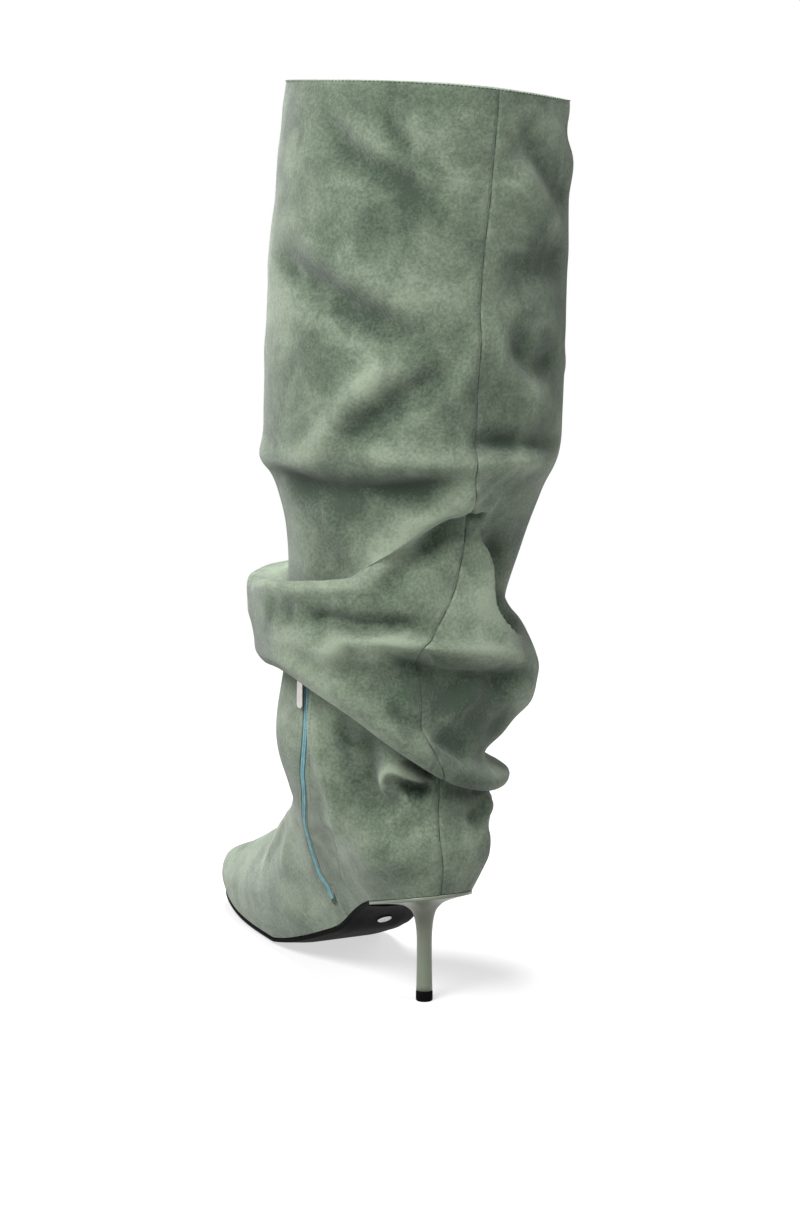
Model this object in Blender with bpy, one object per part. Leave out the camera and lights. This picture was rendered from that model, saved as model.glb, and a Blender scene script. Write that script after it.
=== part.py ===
"""A right knee boot in soft suede with a slouched shaft, on a painted stiletto heel.

Metres, +Z up. The origin is the centre of the heel's tip, on the floor. The toe points to -Y and the
inner side of the foot, with the zip, to +X. The upper is one surface of sections, from the edge where
it meets the sole up to the collar, and the other pieces take their places from that surface.
"""
import bpy
import bmesh
import numpy as np

# Driving sizes of the foot, the sole and the heel
FOOT_LENGTH = 0.265
BALL_WIDTH = 0.066
HEEL_BACK = 0.025
HEEL_HEIGHT = 0.059
HEEL_SEAT_LENGTH = 0.041
SOLE_THICKNESS = 0.003
SOLE_CAMBER = 0.0015
INSOLE_THICKNESS = 0.0025
HEEL_EDGE = 0.0018
STEM_WIDTH = 0.0080
TOP_PIECE_WIDTH = 0.0090
TOP_PIECE_HEIGHT = 0.0055

# Driving sizes of the leg
LEG_HEIGHT = 0.420
SHAFT_WIDTH = 0.150
UPPER_WALL = 0.002

# Zip, slider, pull and stud
ZIP_WIDTH = 0.0040
ZIP_GROOVE = 0.0009
ZIP_PROUD = 0.0004
SLIDER_LENGTH = 0.0100
SLIDER_WIDTH = 0.0070
SLIDER_HEIGHT = 0.0018
SLIDER_DROP = 0.0015
BRIDGE_HEIGHT = 0.0032
BRIDGE_WIRE = 0.0011
BRIDGE_LENGTH = 0.0056
PULL_LENGTH = 0.0205
PULL_WIDTH = 0.0052
PULL_THICKNESS = 0.0010
STUD_WIDTH = 0.0080
STUD_HEIGHT = 0.0011
STUD_AHEAD = 0.0332

# Clearances between pieces
GAP = 0.0003
PULL_CLEARANCE = 0.0005

# How finely the forms are cut into faces
TURNS = 48
FACET = 0.0115
STEM_SIDES = 24

# The sole's underside in profile: share of the foot's length from the toe, height as a share of the
# heel's height. The run of zeros is the flat tread under the ball of the foot.
SOLE_LINE = (
    (0.00, 0.130), (0.06, 0.095), (0.12, 0.055), (0.22, 0.008), (0.28, 0.000), (0.385, 0.000),
    (0.44, 0.050), (0.53, 0.170), (0.60, 0.285), (0.672, 0.420), (0.74, 0.620), (0.80, 0.760),
    (0.90, 0.895), (1.00, 1.000),
)

# The last's outline: share of the foot's length from the toe, width against a plain ellipse, and
# swing of the centre line towards the inner side as a share of the ball's width.
OUTLINE = (
    (0.00, 0.77, 0.06), (0.03, 0.79, 0.05), (0.08, 0.83, 0.03), (0.15, 0.90, -0.01),
    (0.25, 0.97, -0.07), (0.34, 1.02, -0.11), (0.42, 1.02, -0.12), (0.50, 0.94, -0.09),
    (0.60, 0.78, -0.05), (0.70, 0.71, -0.02), (0.80, 0.86, 0.00), (0.90, 1.30, 0.00),
    (0.95, 1.56, 0.00), (1.00, 1.80, 0.00),
)

# Sections of the foot, from the sole's edge up. toe and heel: how far the section starts behind the
# toe's tip and reaches past the heel's back, shares of the foot's length. width: against the ball's
# width. last: how much it keeps the sole's outline. counter: extra width round the heel. The last
# four: rise above the sole at the front, medial, back and lateral side, shares of the leg's height.
FOOT_SECTIONS = (
    # name       toe     heel   width last  counter front medial back  lateral
    ("feather",  0.000,  0.000, 1.00, 1.00, 0.00, 0.000, 0.000, 0.000, 0.000),
    ("welt",    -0.012,  0.008, 1.08, 0.95, 0.08, 0.019, 0.019, 0.018, 0.019),
    ("toe",      0.012,  0.014, 1.12, 0.85, 0.20, 0.048, 0.040, 0.036, 0.038),
    ("vamp",     0.132,  0.014, 1.16, 0.65, 0.26, 0.090, 0.066, 0.052, 0.060),
    ("instep",   0.264,  0.008, 1.20, 0.45, 0.28, 0.136, 0.092, 0.067, 0.082),
    ("throat",   0.377, -0.002, 1.26, 0.25, 0.26, 0.186, 0.112, 0.081, 0.099),
    ("tongue",   0.468, -0.010, 1.34, 0.10, 0.22, 0.217, 0.126, 0.094, 0.111),
)

# Sections of the leg, upwards over the slouched folds to the collar. Axis: where the section's
# centre stands. Out: how far the suede stands from it in six directions 60 degrees apart, starting
# at the front and going round by the medial side. Both are shares of half the shaft's width.
# Up: its height above the heel seat in the same six directions, shares of the leg's height.
LEG_SECTIONS = (
    # name        axis x, y    out: F   FM    BM    B     BL    FL    up: F   FM     BM     B      BL     FL
    ("crease",   0.00, -0.47, 0.89, 0.75, 0.68, 0.75, 0.69, 0.66, 0.138, 0.112, 0.114, 0.112, 0.100, 0.112),
    ("ankle",    0.00, -0.47, 0.93, 0.83, 0.71, 0.74, 0.67, 0.72, 0.190, 0.168, 0.155, 0.127, 0.108, 0.130),
    ("tube",     0.00, -0.47, 0.94, 0.77, 0.76, 0.74, 0.60, 0.70, 0.252, 0.268, 0.266, 0.150, 0.126, 0.154),
    ("under",    0.00, -0.47, 0.95, 0.77, 0.79, 0.76, 0.61, 0.71, 0.274, 0.298, 0.300, 0.169, 0.138, 0.168),
    ("lip in",   0.00, -0.47, 1.02, 0.86, 0.90, 0.84, 0.73, 0.80, 0.260, 0.281, 0.270, 0.154, 0.130, 0.154),
    ("lip",      0.00, -0.47, 1.07, 0.92, 0.95, 0.90, 0.80, 0.86, 0.254, 0.275, 0.262, 0.149, 0.127, 0.149),
    ("lip out",  0.00, -0.47, 1.12, 0.98, 1.01, 0.95, 0.82, 0.88, 0.266, 0.286, 0.273, 0.162, 0.137, 0.158),
    ("notch",    0.00, -0.47, 1.13, 1.00, 1.03, 0.90, 0.61, 0.73, 0.285, 0.304, 0.294, 0.193, 0.160, 0.182),
    ("roll low", 0.00, -0.47, 1.13, 1.01, 1.03, 0.92, 0.80, 0.86, 0.300, 0.318, 0.313, 0.224, 0.191, 0.210),
    ("roll",     0.00, -0.47, 1.17, 1.04, 1.03, 0.97, 1.03, 1.07, 0.338, 0.343, 0.338, 0.295, 0.270, 0.285),
    ("roll top", 0.00, -0.45, 1.09, 1.02, 0.97, 0.89, 0.90, 1.00, 0.383, 0.385, 0.388, 0.385, 0.328, 0.350),
    ("valley",   0.00, -0.41, 0.88, 0.80, 0.79, 0.80, 0.76, 0.81, 0.390, 0.378, 0.385, 0.455, 0.357, 0.370),
    ("neck",     0.00, -0.36, 0.89, 0.81, 0.83, 0.84, 0.85, 0.85, 0.443, 0.443, 0.448, 0.486, 0.433, 0.438),
    ("ledge",   -0.01, -0.31, 0.93, 0.90, 0.90, 0.92, 0.94, 0.93, 0.490, 0.498, 0.502, 0.512, 0.498, 0.488),
    ("swell",   -0.03, -0.29, 1.01, 1.00, 1.00, 1.00, 1.03, 1.01, 0.540, 0.545, 0.548, 0.555, 0.544, 0.536),
    ("shin",    -0.05, -0.27, 1.04, 1.04, 1.03, 1.02, 1.04, 1.03, 0.640, 0.640, 0.640, 0.640, 0.640, 0.640),
    ("calf",    -0.08, -0.24, 1.04, 1.04, 1.03, 1.02, 1.03, 1.03, 0.770, 0.770, 0.770, 0.770, 0.770, 0.770),
    ("knee",    -0.11, -0.20, 1.02, 1.02, 1.01, 1.00, 1.01, 1.01, 0.900, 0.900, 0.900, 0.898, 0.895, 0.898),
    ("collar",  -0.12, -0.19, 0.97, 0.97, 0.97, 0.98, 0.97, 0.97, 1.000, 1.000, 1.000, 0.990, 0.976, 0.990),
)

# The zip's line on the upper, bottom to top: degrees round from the front, section number.
ZIP_LINE = (
    (110, 1.75), (107, 2.50), (99, 3.50), (91, 4.75), (83, 6.50), (89, 7.55), (95, 8.30), (96, 8.75), (97, 9.30),
)

# The heel's flare under its seat: share of the way out from the stem to the seat's edge, drop below
# the middle of the seat as a share of the heel's height.
FLARE = ((1.00, 0.000), (0.62, 0.017), (0.33, 0.042), (0.20, 0.073), (0.10, 0.119), (0.04, 0.203),
         (0.01, 0.305), (0.00, 0.410))


def clear_scene():
    for item in list(bpy.data.objects):
        bpy.data.objects.remove(item, do_unlink=True)


def finish_material(name, colour, roughness, metallic=0.0):
    material = bpy.data.materials.new(name)
    material.use_nodes = True
    shader = material.node_tree.nodes["Principled BSDF"]
    shader.inputs["Base Color"].default_value = (*colour, 1.0)
    shader.inputs["Roughness"].default_value = roughness
    shader.inputs["Metallic"].default_value = metallic
    return material


def piece(name, points, faces, material, smooth=True):
    """One closed object, faces outwards. Points that coincide are merged and bent faces are split."""
    mesh = bpy.data.meshes.new(name)
    mesh.from_pydata([tuple(p) for p in np.asarray(points, float)], [], faces)
    shape = bmesh.new()
    shape.from_mesh(mesh)
    bmesh.ops.remove_doubles(shape, verts=shape.verts, dist=1e-6)
    bmesh.ops.dissolve_degenerate(shape, edges=shape.edges, dist=1e-7)
    bmesh.ops.recalc_face_normals(shape, faces=shape.faces)
    bent = [face for face in shape.faces
            if max(abs((vert.co - face.verts[0].co).dot(face.normal)) for vert in face.verts) > 1e-6]
    bmesh.ops.triangulate(shape, faces=bent)
    shape.to_mesh(mesh)
    shape.free()
    if smooth:
        mesh.shade_smooth()
        mesh.set_sharp_from_angle(angle=0.7)
    mesh.materials.append(material)
    item = bpy.data.objects.new(name, mesh)
    bpy.context.scene.collection.objects.link(item)
    return item


def hermite(start, end, leave, arrive, t):
    return ((2*t**3 - 3*t**2 + 1) * start + (t**3 - 2*t**2 + t) * leave
            + (3*t**2 - 2*t**3) * end + (t**3 - t**2) * arrive)


def curve(table, where):
    """Smooth curve through a table's rows; each slope comes from the neighbouring rows."""
    rows = np.asarray(table, float)
    x, values = rows[:, 0], rows[:, 1:]
    slope = np.gradient(values, x, axis=0)
    where = np.clip(np.asarray(where, float), x[0], x[-1])
    i = np.clip(np.searchsorted(x, where, side="right") - 1, 0, len(x) - 2)
    step = (x[i + 1] - x[i])[..., None]
    t = (where - x[i])[..., None] / step
    return hermite(values[i], values[i + 1], slope[i] * step, slope[i + 1] * step, t)


def around(six, turn):
    """Smooth closed curve through six values 60 degrees apart."""
    six = np.asarray(six, float)
    at = np.arange(6) * np.pi / 3
    out = np.full(turn.shape, six.mean())
    for n in (1, 2):
        out = out + (six @ np.cos(n * at) * np.cos(n * turn) + six @ np.sin(n * at) * np.sin(n * turn)) / 3
    return out + six @ np.cos(3 * at) * np.cos(3 * turn) / 6


# The turns round the boot, and the shares of the foot's length where the sections' corners fall.
# The sole's profile runs straight between those, so that every piece on it has the same facets.
TURN = np.arange(TURNS) * 2 * np.pi / TURNS
STATIONS = (1 - np.cos(TURN[:TURNS // 2 + 1])) / 2


def sole_height(share):
    """Height of the sole's underside above the floor at a share of the foot's length."""
    line = np.maximum(curve(SOLE_LINE, STATIONS)[..., 0], 0) * HEEL_HEIGHT
    return np.interp(share, STATIONS, line)


def share_of_foot(y):
    return np.clip((y - HEEL_BACK + FOOT_LENGTH) / FOOT_LENGTH, 0, 1)


def seat_height(y):
    """Height of the surface that the upper's lower edge stands on."""
    return sole_height(share_of_foot(y)) + SOLE_THICKNESS + SOLE_CAMBER - GAP


def foot_section(row, turn):
    """One section of the foot: the last's outline, lifted off the sole."""
    toe, heel, width, last, counter, front, medial, back, lateral = row[1:]
    toe_y = HEEL_BACK - FOOT_LENGTH * (1 - toe)
    heel_y = HEEL_BACK + FOOT_LENGTH * heel
    y = toe_y + (heel_y - toe_y) * (1 - np.cos(turn)) / 2
    s = share_of_foot(y)
    shape = curve(OUTLINE, s)
    rear = np.clip((s - 0.6) / 0.3, 0, 1)
    rear = rear * rear * (3 - 2 * rear)
    half = BALL_WIDTH / 2 * (width + counter * rear) * np.sin(turn) * (1 + last * (shape[..., 0] - 1))
    x = BALL_WIDTH * shape[..., 1] * last + half
    mean = (front + medial + back + lateral) / 4
    cross = (front + back - medial - lateral) / 4
    lift = (mean + (front - back) / 2 * np.cos(turn) + (medial - lateral) / 2 * np.sin(turn)
            + cross * np.cos(2 * turn))
    return np.stack([x, y, seat_height(y) + GAP + lift * LEG_HEIGHT], -1)


def leg_section(row, turn):
    """One section of the leg: six distances from its axis and six heights, joined smoothly."""
    radius = SHAFT_WIDTH / 2
    out = around(row[3:9], turn) * radius
    up = HEEL_HEIGHT + SOLE_THICKNESS + around(row[9:15], turn) * LEG_HEIGHT
    return np.stack([row[1] * radius + out * np.sin(turn), row[2] * radius - out * np.cos(turn), up], -1)


def sections(turn):
    return np.stack([foot_section(row, turn) for row in FOOT_SECTIONS]
                    + [leg_section(row, turn) for row in LEG_SECTIONS])


def spacing():
    """Mean distance over the suede from each section to the next."""
    return np.linalg.norm(np.diff(sections(TURN), axis=0), axis=2).mean(1)


def upper_point(turn, along):
    """The upper's outer surface: turn in radians from the front, along in section numbers."""
    turn, along = np.broadcast_arrays(np.asarray(turn, float), np.asarray(along, float))
    rings = sections(turn)
    knot = np.concatenate([[0], np.cumsum(spacing() ** 0.5)])
    slope = np.gradient(rings, knot, axis=0)
    i = np.clip(np.floor(along).astype(int), 0, len(rings) - 2)
    t = (along - i)[..., None]
    step = (knot[i + 1] - knot[i])[..., None]

    def pick(values, index):
        return np.take_along_axis(values, index[None, ..., None], axis=0)[0]

    return hermite(pick(rings, i), pick(rings, i + 1), pick(slope, i) * step, pick(slope, i + 1) * step, t)


def upper_normal(turn, along):
    """Outward unit normal of the upper's surface, from its slopes round and up."""
    last = len(FOOT_SECTIONS) + len(LEG_SECTIONS) - 1
    turn, along = np.broadcast_arrays(np.asarray(turn, float), np.asarray(along, float))
    round_step = upper_point(turn + 0.01, along) - upper_point(turn - 0.01, along)
    up_step = upper_point(turn, np.minimum(along + 0.02, last)) - upper_point(turn, np.maximum(along - 0.02, 0))
    normal = np.cross(round_step, up_step)
    return normal / np.linalg.norm(normal, axis=-1, keepdims=True)


def prism(name, profile, low, high, origin, frame, material):
    """A flat profile drawn in the frame's first two directions, thickened along the third."""
    count = len(profile)
    points = [origin + u * frame[0] + v * frame[1] + w * frame[2] for w in (low, high) for u, v in profile]
    faces = tube_faces(2, count)
    faces.append(tuple(reversed(range(count))))
    faces.append(tuple(range(count, 2 * count)))
    return piece(name, points, faces, material, smooth=False)


def combine(shape, other, operation):
    """Add another body to a shape or cut it away; the other stays as a hidden helper."""
    other.hide_render = True
    other.display_type = 'WIRE'
    change = shape.modifiers.new(other.name, 'BOOLEAN')
    change.operation = operation
    change.solver = 'EXACT'
    change.object = other


def rows_up():
    """Section numbers of the upper's facet rows, about one facet apart over the suede."""
    rows = [0.0]
    for number, distance in enumerate(spacing()):
        count = max(1, round(distance / FACET))
        rows += [number + (k + 1) / count for k in range(count)]
    return np.array(rows)


def tube_faces(rings, count, first=0):
    """Quads between rings of points, each ring closed on itself."""
    faces = []
    for i in range(rings - 1):
        for j in range(count):
            k = (j + 1) % count
            a = first + i * count
            faces.append((a + j, a + k, a + count + k, a + count + j))
    return faces


def skins():
    """Outer and inner grids of the upper. The wall's lower and upper edges lie level."""
    rows = rows_up()
    turn, along = np.meshgrid(TURN, rows)
    outer = upper_point(turn, along)
    normal = upper_normal(turn, along)
    for edge in (0, -1):
        normal[edge, :, 2] = 0
        normal[edge] /= np.linalg.norm(normal[edge], axis=-1, keepdims=True)
    return outer, outer - UPPER_WALL * normal


def build_upper(material):
    """Hollow upper: outer skin, inner skin and the two rims, open at the collar and underneath."""
    outer, inner = skins()
    rows, count = outer.shape[:2]
    points = np.concatenate([outer.reshape(-1, 3), inner.reshape(-1, 3)])
    faces = tube_faces(rows, count)
    half = rows * count
    faces += [tuple(reversed(f)) for f in tube_faces(rows, count, half)]
    top = (rows - 1) * count
    for j in range(count):
        k = (j + 1) % count
        faces.append((j, half + j, half + k, k))
        faces.append((top + j, top + k, half + top + k, half + top + j))
    return piece("upper", points, faces, material)


def heel_breast():
    """Where the heel's front face stands along the foot."""
    return HEEL_BACK - HEEL_SEAT_LENGTH


def edge_points(inset=0.0):
    """The sole's plan outline at the upper's lower edge, moved inwards by inset; x and y only."""
    ring = foot_section(FOOT_SECTIONS[0], TURN)[:, :2]
    along = np.roll(ring, -1, axis=0) - np.roll(ring, 1, axis=0)
    side = np.stack([along[:, 1], -along[:, 0]], -1)
    side /= np.linalg.norm(side, axis=1, keepdims=True)
    return ring - inset * side


def edge_at(ring, y):
    """The first corner behind a place along the foot, and the outline's inner and outer point there."""
    k = int(np.argmax(ring[:TURNS // 2, 1] > y))
    share = (y - ring[k - 1, 1]) / (ring[k, 1] - ring[k - 1, 1])
    inner = ring[k - 1] + (ring[k] - ring[k - 1]) * share
    outer = ring[1 - k] + (ring[-k] - ring[1 - k]) * share
    return k, inner, outer


def strips(stations):
    """Quads across a plate whose cross-sections all have the same count of points, as a tube."""
    faces = tube_faces(*stations)
    count = stations[1]
    faces.append(tuple(reversed(range(count))))
    faces.append(tuple(range((stations[0] - 1) * count, stations[0] * count)))
    return faces


def build_outsole(material):
    """Thin sole from the toe to the heel's breast: flat on top, its underside drawn up at the edges."""
    ring = edge_points()
    behind, inner, outer = edge_at(ring, heel_breast() - GAP)
    edges = [(ring[k], ring[-k % TURNS]) for k in range(behind)] + [(inner, outer)]
    sections_across = []
    for medial, lateral in edges:
        y = medial[1]
        low = float(sole_height(share_of_foot(y)))
        high = float(seat_height(y))
        across = ((1.0, 1.0), (0.5, 0.0), (-0.5, 0.0), (-1.0, 1.0))
        middle, half = (medial[0] + lateral[0]) / 2, (medial[0] - lateral[0]) / 2
        under = [(middle + q * half, y, low + lift * SOLE_CAMBER) for q, lift in across]
        sections_across.append([(medial[0], y, high), *under, (lateral[0], y, high)])
    points = np.array(sections_across).reshape(-1, 3)
    return piece("outsole", points, strips((len(edges), 6)), material, smooth=False)


def build_insole(material):
    """Padded sock inside the upper, clear of its wall, lying on the sole and the heel seat."""
    ring = edge_points(UPPER_WALL + GAP)
    half = TURNS // 2
    sections_across = []
    for k in range(half + 1):
        medial, lateral = ring[k], ring[-k % TURNS]
        low_m, low_l = seat_height(medial[1]) + GAP, seat_height(lateral[1]) + GAP
        sections_across.append([
            (*medial, low_m), (*lateral, low_l),
            (*lateral, low_l + INSOLE_THICKNESS), (*medial, low_m + INSOLE_THICKNESS),
        ])
    points = np.array(sections_across).reshape(-1, 3)
    return piece("insole", points, strips((half + 1, 4)), material, smooth=False)


def build_heel(material):
    """Painted heel: a seat with the last's outline that flares out of a slim round stem."""
    ring = edge_points()
    start, inner, outer = edge_at(ring, heel_breast())
    rim = [inner, *ring[start:TURNS - start + 1], outer]
    breast = [rim[-1] + (rim[0] - rim[-1]) * q for q in (0.2, 0.4, 0.6, 0.8)]
    edge = np.array(rim + breast)
    count = len(edge)
    top = np.column_stack([edge, seat_height(edge[:, 1])])
    low = top - (0, 0, HEEL_EDGE)
    reach = np.linalg.norm(edge, axis=1, keepdims=True)
    heading = edge / reach
    middle = float(seat_height(0.0)) - HEEL_EDGE
    levels = [top]
    for share, drop in FLARE:
        plan = heading * (STEM_WIDTH / 2 + (reach - STEM_WIDTH / 2) * share)
        height = middle + (low[:, 2] - middle) * share - drop * HEEL_HEIGHT
        levels.append(np.column_stack([plan, height]))
    foot = TOP_PIECE_HEIGHT + GAP
    for share, width in ((0.5, STEM_WIDTH), (0.0, TOP_PIECE_WIDTH - 0.0003)):
        height = foot + (levels[-1][0, 2] - foot) * share if share else foot
        levels.append(np.column_stack([heading * width / 2, np.full(count, height)]))
    points = np.concatenate(levels)
    faces = tube_faces(len(levels), count)
    pairs = len(rim)
    for k in range(pairs // 2):
        near = (k, k + 1, pairs - 2 - k, pairs - 1 - k)
        if k == 0:
            near = (*near, *range(pairs, count))
        faces.append(tuple(dict.fromkeys(near)))
    faces.append(tuple(range((len(levels) - 1) * count, len(levels) * count)))
    return piece("heel", points, faces, material)


def turned(profile, sides):
    """Rings of a turned shape: each row of the profile is a radius and a height."""
    turn = np.arange(sides) * 2 * np.pi / sides
    rings = [np.column_stack([r * np.cos(turn), r * np.sin(turn), np.full(sides, z)]) for r, z in profile]
    faces = tube_faces(len(profile), sides)
    faces.append(tuple(reversed(range(sides))))
    faces.append(tuple(range((len(profile) - 1) * sides, len(profile) * sides)))
    return np.concatenate(rings), faces


def build_top_piece(material):
    """Hard black cap under the stem; its flat lower face stands on the floor."""
    radius = TOP_PIECE_WIDTH / 2
    points, faces = turned(((radius - 0.0003, 0.0), (radius, 0.0005), (radius, TOP_PIECE_HEIGHT)), STEM_SIDES)
    return piece("top_piece", points, faces, material)


def build_stud(material):
    """Plain domed rivet on the underside of the waist, just below the sole's surface."""
    radius = STUD_WIDTH / 2
    dome = ((radius, 0.0), (radius, 0.25), (0.85 * radius, 0.65), (0.55 * radius, 0.92), (0.2 * radius, 1.0))
    points, faces = turned([(r, h * STUD_HEIGHT) for r, h in dome], STEM_SIDES)
    y = heel_breast() - STUD_AHEAD
    reach = STUD_WIDTH / 4
    rise = float(sole_height(share_of_foot(y + reach)) - sole_height(share_of_foot(y - reach)))
    along = np.array([0.0, 2 * reach, rise]) / np.hypot(2 * reach, rise)
    across = np.array([1.0, 0.0, 0.0])
    down = np.cross(along, across)
    x = BALL_WIDTH * float(curve(OUTLINE, share_of_foot(y))[1])
    base = np.array([x, y, float(sole_height(share_of_foot(y)))]) + down * GAP
    placed = base + points[:, :1] * across + points[:, 1:2] * along + points[:, 2:] * down
    return piece("sole_stud", placed, faces, material)


def zip_frames(count=24):
    """Points up the zip's line, with the directions across it and out of the upper."""
    line = np.asarray(ZIP_LINE, float)
    part = np.linspace(0, len(line) - 1, count)
    placed = curve(np.column_stack([np.arange(len(line)), line]), part)
    turn, along = np.radians(placed[:, 0]), placed[:, 1]
    centre = upper_point(turn, along)
    out = upper_normal(turn, along)
    up = np.gradient(centre, axis=0)
    up /= np.linalg.norm(up, axis=1, keepdims=True)
    across = np.cross(up, out)
    across /= np.linalg.norm(across, axis=1, keepdims=True)
    return centre, across, np.cross(across, up), up


def zip_bar(width, low, high, lengthen=0.0):
    """A bar carried up the zip's line, from low to high above the upper's surface."""
    centre, across, out, up = zip_frames()
    centre = centre.copy()
    centre[0] -= up[0] * lengthen
    centre[-1] += up[-1] * lengthen
    corners = ((-0.5, low), (0.5, low), (0.5, high), (-0.5, high))
    rings = [centre + across * (side * width) + out * height for side, height in corners]
    points = np.stack(rings, axis=1).reshape(-1, 3)
    return points, strips((len(centre), len(corners)))


def cut_zip_groove(upper, material):
    """The recess between the turned edges that the zip lies in."""
    points, faces = zip_bar(ZIP_WIDTH + 2 * GAP, -ZIP_GROOVE, 4 * ZIP_GROOVE, lengthen=GAP)
    combine(upper, piece("zip_groove", points, faces, material), 'DIFFERENCE')


def build_zip(material):
    points, faces = zip_bar(ZIP_WIDTH, GAP - ZIP_GROOVE, ZIP_PROUD)
    return piece("zip_coil", points, faces, material, smooth=False)


def slider_place():
    """Where the zip's slider stands, at the top of the zip and under the fold."""
    centre, across, out, up = zip_frames()
    base = centre[-1] - up[-1] * (SLIDER_LENGTH / 2 + SLIDER_DROP) + out[-1] * (ZIP_PROUD + GAP)
    return base, across[-1], out[-1], up[-1]


def build_slider(material):
    """Slider on the zip: a shaped plate with the bridge that carries the pull."""
    base, across, out, up = slider_place()
    wide, long, wire = SLIDER_WIDTH / 2, SLIDER_LENGTH / 2, BRIDGE_WIRE / 2
    plate = ((-0.7 * wide, -long), (0.7 * wide, -long), (wide, -0.3 * long), (wide, long), (0.3 * wide, long),
             (0.0, 0.6 * long), (-0.3 * wide, long), (-wide, long), (-wide, -0.3 * long))
    slider = prism("zip_slider", plate, 0.0, SLIDER_HEIGHT, base, (across, up, out), material)
    top, foot, reach = SLIDER_HEIGHT + BRIDGE_HEIGHT, SLIDER_HEIGHT / 2, BRIDGE_LENGTH / 2
    hole = reach - BRIDGE_WIRE
    arch = ((-reach, foot), (-hole, foot), (-hole, top - BRIDGE_WIRE), (hole, top - BRIDGE_WIRE),
            (hole, foot), (reach, foot), (reach, top), (-reach, top))
    bridge = prism("zip_bridge", arch, -wire, wire, base, (up, out, across), material)
    combine(slider, bridge, 'UNION')
    return slider


def build_pull(material):
    """Flat pull tab whose eye goes round the slider's bridge. The middle of its cross bar is its origin."""
    base, across, out, up = slider_place()
    pivot = base + out * (SLIDER_HEIGHT + (BRIDGE_HEIGHT - BRIDGE_WIRE) / 2)
    half, thick = PULL_WIDTH / 2, PULL_THICKNESS / 2
    arm = BRIDGE_WIRE / 2 + PULL_CLEARANCE
    eye = np.hypot(BRIDGE_LENGTH, BRIDGE_HEIGHT + BRIDGE_WIRE) / 2 + PULL_CLEARANCE
    outline = ((-half, -0.93 * PULL_LENGTH), (-0.6 * half, -PULL_LENGTH), (0.6 * half, -PULL_LENGTH),
               (half, -0.93 * PULL_LENGTH), (half, thick), (-half, thick))
    window = ((-arm, -eye), (arm, -eye), (arm, -thick), (-arm, -thick))
    frame = (across, up, out)
    pull = prism("zip_pull", outline, -thick, thick, np.zeros(3), frame, material)
    hole = prism("zip_pull_eye", window, -2 * thick, 2 * thick, np.zeros(3), frame, material)
    combine(pull, hole, 'DIFFERENCE')
    for item in (pull, hole):
        item.location = pivot
    return pull


def main():
    clear_scene()
    suede = finish_material("suede", (0.28, 0.33, 0.27), 0.95)
    black = finish_material("black rubber", (0.012, 0.012, 0.013), 0.55)
    paint = finish_material("sage paint", (0.36, 0.42, 0.33), 0.32)
    sock = finish_material("sock lining", (0.55, 0.50, 0.42), 0.8)
    teal = finish_material("teal coil", (0.12, 0.28, 0.31), 0.5)
    metal = finish_material("bright metal", (0.62, 0.60, 0.58), 0.28, 1.0)
    upper = build_upper(suede)
    cut_zip_groove(upper, suede)
    build_outsole(black)
    build_insole(sock)
    build_heel(paint)
    build_top_piece(black)
    build_stud(metal)
    build_zip(teal)
    build_slider(metal)
    build_pull(metal)


main()
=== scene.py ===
"""Looks of a right knee boot: slouched suede shaft, pointed toe, painted stiletto heel, ankle zip.

Metres, +Z up, toe to -Y, inner side to +X. The suede is one surface of sections, as in the solid
model, with its folds raised and sunk along drawn lines. Seams, zip, sole and heel take their places
from that surface.
"""
import bpy
import bmesh
import numpy as np
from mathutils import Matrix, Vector


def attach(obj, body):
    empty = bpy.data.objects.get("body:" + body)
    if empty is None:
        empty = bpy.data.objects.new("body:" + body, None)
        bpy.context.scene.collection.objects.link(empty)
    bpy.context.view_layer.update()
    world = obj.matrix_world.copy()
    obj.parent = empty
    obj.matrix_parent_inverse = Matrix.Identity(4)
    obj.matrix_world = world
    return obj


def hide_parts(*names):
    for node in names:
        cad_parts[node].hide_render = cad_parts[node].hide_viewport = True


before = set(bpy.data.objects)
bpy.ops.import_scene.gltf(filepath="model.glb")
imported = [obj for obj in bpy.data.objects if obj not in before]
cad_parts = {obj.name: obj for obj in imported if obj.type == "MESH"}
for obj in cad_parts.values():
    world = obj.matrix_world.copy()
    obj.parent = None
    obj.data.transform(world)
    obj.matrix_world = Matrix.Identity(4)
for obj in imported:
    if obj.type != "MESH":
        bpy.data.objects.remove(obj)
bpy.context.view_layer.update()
MM = 0.001

# Sizes of the foot, the sole and the heel
FOOT_LENGTH = 0.265
BALL_WIDTH = 0.066
HEEL_BACK = 0.025
HEEL_HEIGHT = 0.059
HEEL_SEAT_LENGTH = 0.041
SOLE_THICKNESS = 0.003
SOLE_CAMBER = 0.0015
INSOLE_THICKNESS = 0.0025
HEEL_EDGE = 0.0018
HEEL_ROUNDING = 0.0004
STEM_WIDTH = 0.0080
TOP_PIECE_WIDTH = 0.0090
TOP_PIECE_HEIGHT = 0.0055
LEG_HEIGHT = 0.420
SHAFT_WIDTH = 0.150
UPPER_WALL = 0.002
GAP = 0.0003
SLIDER_LENGTH = 0.0100
SLIDER_WIDTH = 0.0070
SLIDER_HEIGHT = 0.0018
SLIDER_DROP = 0.0015
BRIDGE_HEIGHT = 0.0032
BRIDGE_WIRE = 0.0011
BRIDGE_LENGTH = 0.0056
PULL_LENGTH = 0.0205
PULL_WIDTH = 0.0052
PULL_THICKNESS = 0.0010
PULL_CLEARANCE = 0.0005
ZIP_PROUD = 0.0004
STUD_WIDTH = 0.0080
STUD_HEIGHT = 0.0011
STUD_AHEAD = 0.0332
ZIP_GROOVE_DEPTH = 1.0 * MM
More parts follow.
